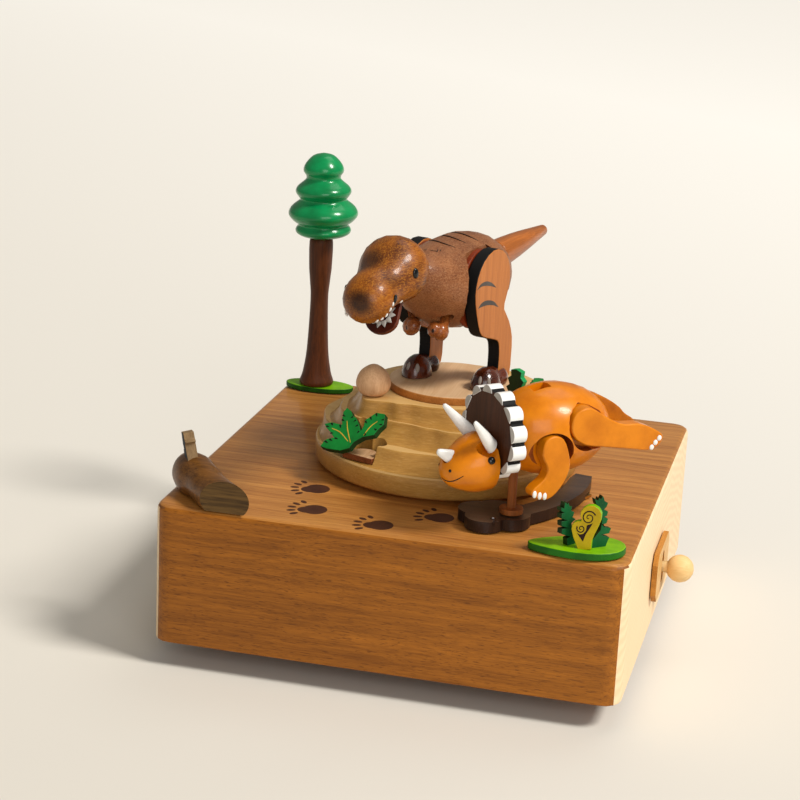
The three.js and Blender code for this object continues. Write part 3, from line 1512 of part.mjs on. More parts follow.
function buildTriBody() {
  const pockets = [1, -1].flatMap((side) => [
    legPocket(triFrontLegShares, triFrontLegHeight, triFrontLegX, triFrontLegFoot, side),
    legPocket(triRearLegShares, triRearLegLength, triRearLegX, triRearLegHeight, side),
  ]);
  const slot = standingPlate(
    offsetOutline(sharedOutline(triTailShares, triTailLength, 30), glueGap),
    triTailThickness + 2 * glueGap,
  );
  const groove = moved(
    block(triGrooveLength, triTailThickness + 2 * glueGap, triGrooveDepth),
    triTailFront + triGrooveLength / 2,
    0,
    triBodyHeight + triBodyDiameter / 2,
  );
  const socket = rod(triStemRadius + glueGap, 0, triStemTop + glueGap);
  const body = cut(triBody(), ...pockets, moved(slot, triTailFront, 0, triTailHeight), groove, socket);
  add(triGroup, 'tri_body', body, orangeWood);
}

// Milled flat in the side of the body that follows the outline of a leg
function legPocket(shares, scale, x, z, side) {
  const outline = offsetOutline(sharedOutline(shares, scale, 36), glueGap + runningGap);
  const depth = triBodyDiameter;
  return moved(standingPlate(outline, depth), x, side * (triFlat + depth / 2), z);
}

function buildTriTail() {
  const tail = standingPlate(sharedOutline(triTailShares, triTailLength, 30), triTailThickness);
  add(triGroup, 'tri_tail', moved(tail, triTailFront, 0, triTailHeight), orangeWood);
}

function buildTriLegs() {
  const legY = triFlat + glueGap + triLegThickness / 2;
  [['near', 1], ['far', -1]].forEach(([side, sign]) => {
    const front = standingPlate(sharedOutline(triFrontLegShares, triFrontLegHeight, 36), triLegThickness);
    add(triGroup, `tri_front_leg_${side}`, moved(front, triFrontLegX, sign * legY, triFrontLegFoot), orangeWood);
    const rear = standingPlate(sharedOutline(triRearLegShares, triRearLegLength, 40), triLegThickness);
    add(triGroup, `tri_rear_leg_${side}`, moved(rear, triRearLegX, sign * legY, triRearLegHeight), orangeWood);
  });
}

function buildTriFrill() {
  const outline = [];
  const stepsPerLobe = 6;
  const count = triFrillLobes * stepsPerLobe;
  for (let i = 0; i < count; i += 1) {
    const angle = (2 * Math.PI * i) / count;
    const notch = Math.abs(Math.sin((angle * triFrillLobes) / 2));
    const wave = triFrillScallop * (Math.sqrt(notch) - 1);
    outline.push(new THREE.Vector2(
      (triFrillWidth / 2 + wave) * Math.cos(angle),
      (triFrillRise / 2 + wave) * Math.sin(angle),
    ));
  }
  const board = plate(outline, triFrillThickness).rotateX(Math.PI / 2).rotateZ(Math.PI / 2);
  add(triGroup, 'tri_frill', moved(board, triBodyFront + glueGap, 0, triFrillHeight), walnut);
}

function horn(x, y, z, length, radius, lean, splay, growth) {
  const tip = radius * hornTipShare;
  const cone = lathe([
    [0, -growth], [radius + growth, -growth], [radius * 0.86 + growth, length * 0.3],
    [tip * 1.5 + growth, length * 0.85], [tip + growth, length * 0.96], [0, length + growth],
  ], 14);
  cone.rotateY(radians(90 - lean));
  cone.rotateZ(radians(splay));
  return moved(cone, x, y, z);
}

function horns(growth) {
  const brow = (sign) => horn(
    browHornX,
    sign * browHornSpread,
    browHornHeight - hornSink,
    browHornLength,
    browHornRadius,
    browHornLean,
    sign * browHornSplay,
    growth,
  );
  const nose = horn(
    noseHornX,
    0,
    noseHornHeight - hornSink,
    noseHornLength,
    noseHornRadius,
    noseHornLean,
    0,
    growth,
  );
  return { near: brow(1), far: brow(-1), nose };
}

function buildTriHead() {
  const start = triBodyFront + triFrillThickness + 2 * glueGap;
  const head = bodyAlongX(triHeadShares.map(([along, wide, tall, fall]) => [
    start + along * triHeadLength,
    (wide * triHeadDiameter) / 2,
    (tall * triHeadDiameter) / 2,
    triHeadHeight - fall * triHeadFall,
  ]), 12);
  const sockets = horns(glueGap);
  add(triGroup, 'tri_head', cut(head, sockets.near, sockets.far, sockets.nose), orangeWood);
  const cones = horns(0);
  add(triGroup, 'tri_horn_near', cones.near, whitePaint);
  add(triGroup, 'tri_horn_far', cones.far, whitePaint);
  add(triGroup, 'tri_horn_nose', cones.nose, whitePaint);
}

function buildTriStem() {
  const foot = carrierTop - deckZ + glueGap;
  const stem = lathe([
    [0, foot], [triFlangeRadius, foot], [triFlangeRadius, foot + triFlangeThickness],
    [triStemRadius, foot + triFlangeThickness], [triStemRadius, triStemTop], [0, triStemTop],
  ], figureSteps);
  add(triGroup, 'tri_stem', stem, tanPly);
}

buildHousing();
buildBottomPanel();
buildKnobPlate();
buildStopLever();
buildBedplate();
buildBridge();
buildCentrePost();
buildComb();
buildWindingBase();
buildBarrel();
buildMainspring();
buildDriveGear();
buildDisc();
buildTransferShaft();
buildOrbitGear();
buildOrbitArm();
buildCarrier();
buildHill();
buildHillPieces();
buildTree();
buildFerns();
buildStone();
buildCylinder();
buildGovernor();
buildRexBody();
buildRexHead();
buildRexTail();
buildRexLegs();
buildRexArms();
buildTriStem();
buildTriBody();
buildTriHead();
buildTriFrill();
buildTriTail();
buildTriLegs();

export default assembly;
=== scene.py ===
"""Dresses a wooden wind-up music box, with its two dinosaur figures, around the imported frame."""

from __future__ import annotations

import json
import logging
import math
from dataclasses import dataclass, field
from enum import Enum
from typing import Any, Mapping, Sequence

import bmesh
import bpy
from mathutils import Matrix, Vector
from mathutils.bvhtree import BVHTree

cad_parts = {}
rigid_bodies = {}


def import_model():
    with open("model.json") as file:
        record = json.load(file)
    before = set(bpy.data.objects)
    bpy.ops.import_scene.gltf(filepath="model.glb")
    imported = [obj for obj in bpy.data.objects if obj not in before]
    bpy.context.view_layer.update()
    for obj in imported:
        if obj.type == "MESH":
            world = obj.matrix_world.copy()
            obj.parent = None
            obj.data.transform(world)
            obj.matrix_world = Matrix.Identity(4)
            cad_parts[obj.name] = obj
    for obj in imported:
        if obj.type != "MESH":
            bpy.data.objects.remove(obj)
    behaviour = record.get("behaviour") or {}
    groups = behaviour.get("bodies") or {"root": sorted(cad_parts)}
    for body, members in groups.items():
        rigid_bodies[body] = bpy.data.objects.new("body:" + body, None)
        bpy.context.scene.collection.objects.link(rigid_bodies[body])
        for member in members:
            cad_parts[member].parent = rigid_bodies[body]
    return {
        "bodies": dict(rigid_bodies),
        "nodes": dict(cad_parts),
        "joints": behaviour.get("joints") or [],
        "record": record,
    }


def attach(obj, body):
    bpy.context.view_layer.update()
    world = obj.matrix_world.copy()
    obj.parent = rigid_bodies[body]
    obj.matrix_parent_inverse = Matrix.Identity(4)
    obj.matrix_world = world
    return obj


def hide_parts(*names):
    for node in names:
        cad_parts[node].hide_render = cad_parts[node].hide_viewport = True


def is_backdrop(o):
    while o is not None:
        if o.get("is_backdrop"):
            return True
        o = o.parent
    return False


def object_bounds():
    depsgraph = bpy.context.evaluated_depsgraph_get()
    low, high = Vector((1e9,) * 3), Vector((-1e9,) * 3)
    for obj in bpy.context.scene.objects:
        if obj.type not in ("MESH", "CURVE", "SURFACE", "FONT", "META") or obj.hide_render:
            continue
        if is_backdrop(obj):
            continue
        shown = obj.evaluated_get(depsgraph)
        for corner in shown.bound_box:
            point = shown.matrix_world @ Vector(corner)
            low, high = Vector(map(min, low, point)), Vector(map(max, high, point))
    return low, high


LOG = logging.getLogger("music_box")
MM = 0.001
WELD = 2e-6

Colour = tuple[float, float, float]
Pixel = tuple[float, float]


def tint(code: str) -> Colour:
    """Turns a six-digit colour code into linear light.

    Args:
        code: The colour as rrggbb.

    Returns:
        The three channels, from 0 to 1.
    """
    channels = [int(code[i : i + 2], 16) / 255 for i in (0, 2, 4)]
    return tuple(c / 12.92 if c <= 0.04045 else ((c + 0.055) / 1.055) ** 2.4 for c in channels)


class Grain(Enum):
    """The direction in which the fibres of a piece run, as turns about Y and Z in degrees."""

    ALONG_X = (0, 0)
    ALONG_Y = (0, -90)
    ALONG_Z = (90, 0)
    REX = (0, 103)
    TRI = (0, -222.4)


class Side(Enum):
    """The side of a figure: its sign across the figure, and the word in its nodes' names."""

    NEAR = (1, "near")
    FAR = (-1, "far")


class Graph:
    """The node graph of one material, with its patterns measured in millimetres."""

    def __init__(self, name: str) -> None:
        """Starts the material.

        Args:
            name: The name of the material.
        """
        self.material = bpy.data.materials.new(name)
        self.material.use_nodes = True
        self.tree = self.material.node_tree
        self.shader = self.tree.nodes["Principled BSDF"]
        source = self.node("ShaderNodeTexCoord").outputs["Object"]
        self.place = self.mapped(source, scale=(1 / MM, 1 / MM, 1 / MM))

    def node(self, kind: str, inputs: Mapping[Any, Any] | None = None, **settings: Any) -> bpy.types.Node:
        """Adds a node.

        Args:
            kind: Blender's name of the node type.
            inputs: Values or sockets for its inputs, by name or number.
            settings: The node's own settings.

        Returns:
            The new node.
        """
        made = self.tree.nodes.new(kind)
        for key, value in settings.items():
            setattr(made, key, value)
        for key, value in (inputs or {}).items():
            if isinstance(value, bpy.types.NodeSocket):
                self.tree.links.new(value, made.inputs[key])
            else:
                made.inputs[key].default_value = value
        return made

    def mapped(
        self, vector: Any, scale: Sequence[float] = (1, 1, 1), turn: Sequence[float] = (0, 0, 0),
    ) -> Any:
        """Scales and turns a place, and returns the new one."""
        inputs = {"Vector": vector, "Scale": scale, "Rotation": [math.radians(t) for t in turn]}
        return self.node("ShaderNodeMapping", inputs).outputs[0]

    def math(self, operation: str, first: Any, second: Any = 0.0, clamp: bool = False) -> Any:
        """Adds one sum and returns its socket."""
        made = self.node("ShaderNodeMath", {0: first, 1: second}, operation=operation, use_clamp=clamp)
        return made.outputs[0]

    def noise(self, vector: Any, detail: float = 3.0, roughness: float = 0.55, warp: float = 0.0) -> Any:
        """Adds a noise of unit scale and returns its value."""
        inputs = {"Vector": vector, "Scale": 1.0, "Detail": detail, "Roughness": roughness, "Distortion": warp}
        return self.node("ShaderNodeTexNoise", inputs).outputs[0]

    def ramp(self, value: Any, stops: Sequence[tuple[float, Colour]]) -> Any:
        """Turns a value into a colour.

        Args:
            value: The socket that drives the ramp.
            stops: Places from 0 to 1 with their colours.

        Returns:
            The socket of the colour.
        """
        made = self.node("ShaderNodeValToRGB", {0: value})
        elements = made.color_ramp.elements
        while len(elements) < len(stops):
            elements.new(0.5)
        for element, (place, colour) in zip(elements, stops):
            element.position = place
            element.color = (*colour, 1)
        return made.outputs[0]

    def level(self, value: Any, low: float, high: float) -> Any:
        """Stretches a value so that low becomes 0 and high becomes 1, and returns its socket."""
        made = self.node("ShaderNodeMapRange", {0: value, 1: low, 2: high, 3: 0.0, 4: 1.0})
        return made.outputs[0]

    def mix(self, factor: Any, first: Any, second: Any, blend: str = "MIX") -> Any:
        """Mixes two colours and returns the socket."""
        sides = [(*c, 1) if isinstance(c, tuple) else c for c in (first, second)]
        made = self.node("ShaderNodeMix", {0: factor, 6: sides[0], 7: sides[1]}, data_type="RGBA", blend_type=blend)
        return made.outputs[2]

    def near(self, spot: Sequence[float], radius: float) -> Any:
        """Returns a value that is 1 at a place in metres and fades to 0 at the radius in millimetres."""
        centre = [c / MM for c in spot]
        inputs = {0: self.place, 1: centre}
        away = self.node("ShaderNodeVectorMath", inputs, operation="DISTANCE").outputs["Value"]
        made = self.node("ShaderNodeMapRange", {0: away, 1: radius, 2: radius * 0.3, 3: 0.0, 4: 1.0})
        made.interpolation_type = "SMOOTHSTEP"
        return made.outputs[0]

    def bump(self, height: Any, strength: float, depth: float) -> None:
        """Raises the surface by a height map, with the depth in millimetres."""
        made = self.node("ShaderNodeBump", {"Height": height, "Strength": strength, "Distance": depth * MM})
        self.tree.links.new(made.outputs[0], self.shader.inputs["Normal"])

    def colour(self, value: Any) -> None:
        """Gives the shader its base colour."""
        if isinstance(value, tuple):
            self.shader.inputs["Base Color"].default_value = (*value, 1)
        else:
            self.tree.links.new(value, self.shader.inputs["Base Color"])

    def gloss(self, roughness: float, coat: float = 0.0, specular: float = 0.22, metallic: float = 0.0) -> None:
        """Sets how the shader reflects."""
        for name, value in (
            ("Roughness", roughness), ("Coat Weight", coat), ("Coat Roughness", 0.12),
            ("Specular IOR Level", specular), ("Metallic", metallic),
        ):
            self.shader.inputs[name].default_value = value


@dataclass(frozen=True)
class Wood:
    """A stained or bare wood with bands, fibres and pores along its grain."""

    name: str
    light: str
    dark: str
    grain: Grain = Grain.ALONG_X
    fibre: tuple[float, float] = (9.0, 0.3)
    band: tuple[float, float] = (70.0, 3.2)
    contrast: tuple[float, float] = (1.3, 1.2)
    pore: float = 0.0
    pore_size: tuple[float, float] = (2.6, 0.28)
    pore_colour: str = "3A1F0E"
    roughness: float = 0.5
    coat: float = 0.0
    relief: float = 0.12

    def material(self) -> bpy.types.Material:
        """Makes the material."""
        graph = Graph(self.name)
        about_y, about_z = self.grain.value
        along = graph.mapped(graph.place, turn=(0, about_y, about_z))
        sway = graph.noise(graph.mapped(along, scale=(1 / 30, 1 / 14, 1 / 14)), detail=1.0)
        shift = graph.node("ShaderNodeCombineXYZ", {1: graph.math("MULTIPLY", sway, 5.0)}).outputs[0]
        waved = graph.node("ShaderNodeVectorMath", {0: along, 1: shift}, operation="ADD").outputs[0]
        bands = graph.noise(graph.mapped(waved, scale=self._cell(self.band)), detail=3.0, roughness=0.6)
        fibres = graph.noise(graph.mapped(waved, scale=self._cell(self.fibre)), detail=4.0, roughness=0.65)
        broad = graph.math("MULTIPLY", graph.math("SUBTRACT", bands, 0.5), self.contrast[0])
        fine = graph.math("MULTIPLY", graph.math("SUBTRACT", fibres, 0.5), self.contrast[1])
        value = graph.math("ADD", graph.math("ADD", broad, fine), 0.5, clamp=True)
        colour = graph.mix(value, tint(self.dark), tint(self.light))
        if self.pore:
            spots = graph.noise(graph.mapped(waved, scale=self._cell(self.pore_size)), detail=1.0, roughness=0.4)
            open_pores = graph.level(spots, 0.6, 0.7)
            depth = graph.math("MULTIPLY", open_pores, self.pore)
            colour = graph.mix(depth, colour, tint(self.pore_colour))
            value = graph.math("SUBTRACT", value, open_pores)
        graph.colour(colour)
        graph.gloss(self.roughness, self.coat)
        graph.bump(value, self.relief, 0.15)
        return graph.material

    @staticmethod
    def _cell(size: tuple[float, float]) -> tuple[float, float, float]:
        """Returns the scale at which one cell of a noise has that length and width."""
        return (1 / size[0], 1 / size[1], 1 / size[1])


@dataclass(frozen=True)
class EndGrain:
    """Sawn-across wood, with arcs of growth rings round a heart below the piece."""

    name: str
    light: str
    dark: str
    heart: tuple[float, float] = (8.0, -55.0)
    ring: float = 2.4
    roughness: float = 0.5

    def material(self) -> bpy.types.Material:
        """Makes the material."""
        graph = Graph(self.name)
        parts = graph.node("ShaderNodeSeparateXYZ", {0: graph.place}).outputs
        across = graph.math("SUBTRACT", parts[1], self.heart[0])
        up = graph.math("SUBTRACT", parts[2], self.heart[1])
        squares = graph.math("ADD", graph.math("POWER", across, 2.0), graph.math("POWER", up, 2.0))
        wobble = graph.noise(graph.mapped(graph.place, scale=(0.06, 0.06, 0.06)), detail=2.0)
        far = graph.math("ADD", graph.math("SQRT", squares), graph.math("MULTIPLY", wobble, 7.0))
        phase = graph.math("MULTIPLY", far, 2 * math.pi / self.ring)
        rings = graph.level(graph.math("SINE", phase), -1.0, 1.0)
        dust = graph.noise(graph.mapped(graph.place, scale=(3.0, 3.0, 3.0)), detail=3.0)
        patch = graph.noise(graph.mapped(graph.place, scale=(0.05, 0.05, 0.05)), detail=2.0)
        soft = graph.math("ADD", graph.math("MULTIPLY", rings, 0.45), graph.math("MULTIPLY", dust, 0.4))
        value = graph.math("ADD", soft, graph.math("MULTIPLY", patch, 0.35), clamp=True)
        graph.colour(graph.mix(value, tint(self.dark), tint(self.light)))
        graph.gloss(self.roughness)
        graph.bump(value, 0.08, 0.1)
        return graph.material


@dataclass(frozen=True)
class Flecked:
    """A turned bead of interlocked wood: short bright dashes on a glossy brown ground."""

    name: str
    ground: str
    warm: str
    fleck: str
    # The dark colour of the pits, and of the painted shade round given places.
    shade: str = "1D0B05"
    grain: Grain = Grain.REX
    dash: tuple[float, float] = (1.15, 0.3)
    fleck_share: float = 0.55
    roughness: float = 0.35
    coat: float = 0.6
    relief: float = 0.25

    def material(self, painted_shade_spots: Sequence[tuple[Vector, float, float]] = ()) -> bpy.types.Material:
        """Makes the material.

        Args:
            painted_shade_spots: Places with a radius in millimetres and a depth, where shade is painted into the
                stain.

        Returns:
            The material.
        """
        graph = Graph(self.name)
        about_y, about_z = self.grain.value
        along = graph.mapped(graph.place, turn=(0, about_y, about_z))
        cloud = graph.noise(graph.mapped(along, scale=(0.12, 0.17, 0.17)), detail=2.0)
        cross = graph.mapped(along, turn=(28, 0, 34))
        dashes = [
            graph.noise(graph.mapped(place, scale=Wood._cell(self.dash)), detail=2.0, roughness=0.7)
            for place in (along, cross)
        ]
        fleck = graph.math("MAXIMUM", graph.level(dashes[0], 0.5, 0.66), graph.level(dashes[1], 0.53, 0.68))
        pit = graph.math("MAXIMUM", graph.level(dashes[0], 0.42, 0.28), graph.level(dashes[1], 0.4, 0.26))
        base = graph.mix(graph.level(cloud, 0.36, 0.64), tint(self.ground), tint(self.warm))
        base = graph.mix(graph.math("MULTIPLY", fleck, self.fleck_share), base, tint(self.fleck))
        base = graph.mix(graph.math("MULTIPLY", pit, 0.6), base, tint(self.shade))
        # Painted shade: round each given place the stain is mixed towards the dark colour.
        for spot, radius, depth in painted_shade_spots:
            cover = graph.math("MULTIPLY", graph.near(spot, radius), depth)
            base = graph.mix(cover, base, tint(self.shade))
        graph.colour(base)
        graph.gloss(self.roughness, self.coat)
        graph.bump(graph.math("SUBTRACT", fleck, pit), self.relief, 0.06)
        return graph.material


@dataclass(frozen=True)
class Paint:
    """A brushed or sprayed coat on wood, with faint clouds and a fine orange-peel skin."""

    name: str
    colour: str
    shade: str
    roughness: float = 0.4
    coat: float = 0.0
    relief: float = 0.05
    cell: float = 0.35

    def material(self) -> bpy.types.Material:
        """Makes the material."""
        graph = Graph(self.name)
        cloud = graph.noise(graph.mapped(graph.place, scale=(0.16, 0.16, 0.16)), detail=3.0)
        skin = graph.noise(graph.mapped(graph.place, scale=(1 / self.cell,) * 3), detail=2.0)
        value = graph.math("ADD", graph.level(cloud, 0.3, 0.7), graph.math("MULTIPLY", skin, 0.35), clamp=True)
        graph.colour(graph.mix(value, tint(self.shade), tint(self.colour)))
        graph.gloss(self.roughness, self.coat)
        graph.bump(skin, self.relief, 0.08)
        return graph.material


@dataclass(frozen=True)
class Metal:
    """A brushed metal of the clockwork."""

    name: str
    colour: str
    roughness: float = 0.32

    def material(self) -> bpy.types.Material:
        """Makes the material."""
        graph = Graph(self.name)
        lines = graph.noise(graph.mapped(graph.place, scale=(0.3, 6.0, 0.3)), detail=3.0)
        deep = tuple(0.78 * c for c in tint(self.colour))
        graph.colour(graph.mix(lines, deep, tint(self.colour)))
        graph.gloss(self.roughness, metallic=1.0)
        graph.bump(lines, 0.1, 0.03)
        return graph.material


class Palette:
    """Every finish of the music box, each made into one material."""

    def __init__(self) -> None:
        """Makes the materials that need nothing of the frame."""
        finishes = [
            Wood("box_front", "B26C1E", "74410F", Grain.ALONG_X, (13, 0.36), (70, 2.4), (1.5, 1.3), 0.5,
                 (2.2, 0.24), "4A240C", roughness=0.45, coat=0.05),
            Wood("box_top", "CE8E46", "8C521E", Grain.ALONG_X, (16, 0.4), (70, 3.0), (1.5, 1.4), 0.25,
                 (3.5, 0.3), "5F3317", roughness=0.36, coat=0.25),
            EndGrain("box_end", "F5DAB2", "E3C094"),
            Wood("base_wood", "98602F", "6A3C18", Grain.ALONG_X, roughness=0.55),
            Wood("sand_tread", "E4BE80", "C2934F", Grain.ALONG_X, (8, 0.35), (40, 3.2), (0.8, 0.7)),
            # Darker than the treads' finish: partly the wood's golden tone, partly painted shade where risers, coves
            # and walls face away from the light.
            Wood("riser_gold_and_shade", "CD9C52", "9A6A2C", Grain.ALONG_X, (4.0, 0.35), (40, 2.4), (0.9, 1.1),
                 0.12, (1.4, 0.35), "EBC584", roughness=0.36, coat=0.15),
            Wood("disc_top", "E4C096", "C89A6C", Grain.ALONG_Y, (12, 0.35), (60, 3.2), (1.0, 1.0)),
            Wood("disc_rim", "CC8640", "94581E", Grain.ALONG_Y, (2.0, 0.4)),
            Wood("egg_wood", "E6BC90", "C08C60", Grain.ALONG_Z, (6, 0.3), (40, 1.6), (1.0, 1.5)),
            Wood("nest_top", "D9B48C", "A5744A", Grain.ALONG_Y, (5, 0.5), (30, 1.6), (1.2, 1.4)),
            Wood("nest_rim", "8A4A24", "4A220E", Grain.ALONG_Y, (5, 0.5)),
            Wood("leg_ply", "CB7F3E", "94521F", Grain.ALONG_Z, (9, 0.28), (60, 2.2), (1.0, 1.2)),
            Wood("tail_wood", "BC6A28", "80430F", Grain.REX, (8, 0.35), (60, 2.4), roughness=0.42, coat=0.2),
            Wood("hip_red", "963A12", "4E1705", Grain.ALONG_Z, (3, 0.4), roughness=0.5),
            Wood("stone_wood", "855522", "43270C", Grain.ALONG_X, (7, 0.35), (50, 1.3), (1.6, 1.5),
                 roughness=0.42, coat=0.15),
            Wood("stone_face", "705228", "36240E", Grain.ALONG_X, (9, 0.4), (50, 0.9), (2.0, 1.2)),
            Wood("sprout_tan", "9A7E58", "62482A", Grain.ALONG_Z, (4, 0.3)),
            Wood("stem_wood", "A45E2A", "66340F", Grain.ALONG_Z, (5, 0.3)),
            Wood("trunk_wood", "663414", "361908", Grain.ALONG_Z, (9, 0.3), (60, 1.8), (1.2, 1.5),
                 roughness=0.48),
            Wood("frill_walnut", "552C12", "2A1206", Grain.ALONG_Z, (7, 0.3), (50, 1.6), (1.2, 1.3)),
            Wood("carrier_dark", "35221A", "190E09", Grain.ALONG_Z, (6, 0.3), roughness=0.38, coat=0.2),
            Wood("carrier_top", "57402F", "33231A", Grain.ALONG_X, (9, 0.3), roughness=0.36, coat=0.2),
            Wood("knob_wood", "F3D39C", "D9AC68", Grain.ALONG_X, (6, 0.3), (40, 1.8), (0.8, 1.0)),
            Wood("knob_plate_wood", "E6BE80", "C69552", Grain.ALONG_Y, (6, 0.3), (40, 1.8), (0.8, 1.0)),
            Wood("knob_plate_rim", "C98A3C", "945C1E", Grain.ALONG_Y, (3, 0.3)),
            # A darker wood for the walls of the leg recesses: painted shade in the hollows.
            Wood("recess_painted_shade", "9A4E18", "6A2C0A", Grain.TRI, (5, 0.4), roughness=0.5),
            Paint("burnt", "0B0807", "040302", roughness=0.62, relief=0.12),
            Paint("print_brown", "4C2917", "361A0D", roughness=0.6, relief=0.1),
            Paint("stripe_grey", "57514B", "3F3A36", roughness=0.65, relief=0.1),
            Paint("claw_grey", "8A8078", "6A605A", roughness=0.4),
            Paint("leaf_face", "128A34", "0A6424", roughness=0.42),
            Paint("leaf_deep", "0C5C2E", "073E1C", roughness=0.45),
            Paint("leaf_rim", "0E3A14", "06200A", roughness=0.5),
            # Dark green for the edges of the side leaf and the ferns, and painted shade on the upright leaf's face.
            Paint("leaf_dark_edge_and_shade", "1A3408", "102405", roughness=0.5),
            # Bright green: painted light on the upright leaf's edges.
            Paint("leaf_painted_light", "1BA35C", "0F8040", roughness=0.4),
            Paint("lime_top", "82BC06", "609804", roughness=0.4),
            Paint("lime_edge", "1F6A0C", "0E3A06", roughness=0.5),
            Paint("olive", "C9AC0E", "A5880A", roughness=0.42),
            Paint("gold_line", "DDB03C", "B08A1C", roughness=0.35),
            Paint("canopy", "03904F", "02703A", roughness=0.28, coat=0.4),
            Paint("horn_white", "F4F2EE", "E6E2DA", roughness=0.22, coat=0.6, relief=0.02),
            Paint("lobe_white", "F2F1EE", "E4E1DA", roughness=0.35, coat=0.2, relief=0.03),
            # Grey on the lobes' front caps: painted shade on the white paint.
            Paint("lobe_painted_shade", "BDB9B2", "A39E96", roughness=0.45),
            Paint("eye_black", "08090B", "040405", roughness=0.25, coat=0.4),
            Paint("tooth_grey", "B4B0AA", "98948E", roughness=0.4),
            Paint("tooth_white", "EDEAE4", "DAD6CE", roughness=0.35),
            Paint("tongue_red", "8E1210", "640A0A", roughness=0.35, coat=0.3),
            Paint("jaw_brown", "4A190C", "2C0E06", roughness=0.4, coat=0.2),
            Paint("jaw_edge", "6A2C12", "471A0A", roughness=0.45),
            Paint("tri_orange", "DE8108", "C06603", roughness=0.34, coat=0.2),
            Paint("tri_limb", "DB8114", "C06A0A", roughness=0.42),
            Paint("tri_tail", "C4700E", "974F06", roughness=0.42),
            Paint("toe_white", "F7F5F2", "E9E6E0", roughness=0.35),
            # Dark paint for lines and strokes, and painted shade for the fists' holes, the carrier's keyhole and the
            # fiddlehead's gap.
            Paint("dark_paint_and_shade", "2A1409", "160904", roughness=0.5),
            Paint("felt", "1C1C22", "101014", roughness=0.95, relief=0.4, cell=0.2),
            Paint("sprout_blue", "2A3038", "14171C", roughness=0.7, relief=0.4, cell=0.3),
            Metal("brass", "D9AE5C"),
            Metal("steel", "C4C5C8", 0.28),
            Flecked("foot_gloss", "2A0D05", "5A2410", "7E3E1C", fleck_share=0.25, roughness=0.2, coat=0.8),
            Flecked("fist_gloss", "6A3014", "8E4A1E", "C07A3A", fleck_share=0.4, roughness=0.3, coat=0.4),
            Flecked("rex_body", "784424", "8E5630", "BA8A5E", dash=(0.9, 0.26), fleck_share=0.38,
                    roughness=0.5, coat=0.1),
        ]
        self.made = {finish.name: finish.material() for finish in finishes}

    def __getitem__(self, name: str) -> bpy.types.Material:
        """Returns a material by its name."""
        return self.made[name]

    def keep(self, material: bpy.types.Material) -> None:
        """Adds a material that was made beside the list."""
        self.made[material.name] = material


@dataclass(frozen=True)
class Viewpoint:
    """The photograph's camera, in the frame of the model."""

    place: tuple[float, float, float] = (0.11817, -0.55746, 0.23785)
    azimuth: float = 13.394
    elevation: float = 17.113
    roll: float = 2.75
    lens: float = 96.53
    sensor: float = 36.0
    pixels: float = 800.0

    def axes(self) -> tuple[Vector, Vector, Vector]:
        """Returns the camera's right, up and backward directions."""
        a, e, r = (math.radians(x) for x in (self.azimuth, self.elevation, self.roll))
        back = Vector((math.sin(a) * math.cos(e), -math.cos(a) * math.cos(e), math.sin(e)))
        right = (-back).cross(Vector((0, 0, 1))).normalized()
        up = right.cross(-back)
        return (
            math.cos(r) * right + math.sin(r) * up,
            -math.sin(r) * right + math.cos(r) * up,
            back,
        )

    def ray(self, pixel: Pixel) -> Vector:
        """Returns the direction in which the camera sees a pixel of the square frame."""
        right, up, back = self.axes()
        reach = self.lens / self.sensor * self.pixels
        across, rise = pixel[0] - self.pixels / 2, self.pixels / 2 - pixel[1]
        return (right * across + up * rise - back * reach).normalized()

    def build(self) -> None:
        """Puts the camera into the scene."""
        data = bpy.data.cameras.new("camera")
        data.lens, data.sensor_width = self.lens, self.sensor
        data.clip_start, data.clip_end = 0.01, 100
        camera = bpy.data.objects.new("camera", data)
        right, up, back = self.axes()
        turned = Matrix((right, up, back)).transposed().to_4x4()
        camera.matrix_world = Matrix.Translation(self.place) @ turned
        bpy.context.scene.collection.objects.link(camera)
        bpy.context.scene.camera = camera


FITTED_BOXES: dict[str, tuple[float, float, float, float, float, float]] = {
    "nest": (-22.97, -32.16, 52.55, -13.33, -24.09, 54.25),
    "tree_base": (-63.55, 48.15, 45.3, -42.25, 58.25, 46.8),
    "fern_base": (34.05, -62.8, 45.3, 58.35, -49.0, 47.3),
    "turntable_disc": (-17.5, -17.5, 66.1, 17.5, 17.5, 69.1),
    "rex_body": (-13.89, -30.87, 85.24, 13.5, 23.53, 110.88),
    "rex_head": (-18.45, -56.9, 97.26, 0.46, -29.96, 117.07),
    "rex_jaw": (-14.35, -46.38, 92.3, -5.38, -38.35, 101.48),
    "rex_tail": (1.26, 20.87, 95.8, 14.57, 56.31, 104.41),
    "rex_hip_near": (3.53, -17.92, 86.5, 9.87, 3.54, 108.3),
    "rex_leg_near": (5.48, -17.93, 69.4, 14.82, 8.52, 108.66),
    "rex_foot_near": (6.12, -9.28, 69.4, 15.24, 5.16, 75.2),
    "rex_hip_far": (-11.57, -14.43, 86.5, -5.23, 7.03, 108.3),
    "rex_leg_far": (-15.08, -13.18, 69.4, -5.74, 13.26, 108.66),
    "rex_foot_far": (-14.44, -4.54, 69.4, -5.32, 9.91, 75.2),
    "rex_arm_near": (-3.05, -22.79, 85.4, 2.78, -13.73, 94.37),
    "rex_arm_far": (-10.57, -21.33, 85.4, -5.39, -11.81, 94.37),
    "tri_stem": (23.72, -47.58, 48.85, 29.88, -41.42, 64.5),
    "tri_body": (19.92, -51.7, 58.91, 48.91, -23.44, 82.89),
    "tri_head": (9.54, -60.73, 56.42, 25.54, -44.73, 71.84),
    "tri_horn_near": (19.05, -62.21, 68.04, 24.11, -53.49, 77.79),
    "tri_horn_far": (8.52, -50.66, 68.04, 17.45, -46.18, 77.79),
    "tri_horn_nose": (9.62, -60.25, 63.37, 15.03, -55.1, 68.71),
    "tri_frill": (12.17, -59.25, 60.46, 31.54, -38.5, 83.14),
    "knob_plate": (61.0, -13.4, 16.0, 62.5, 10.6, 30.0),
}


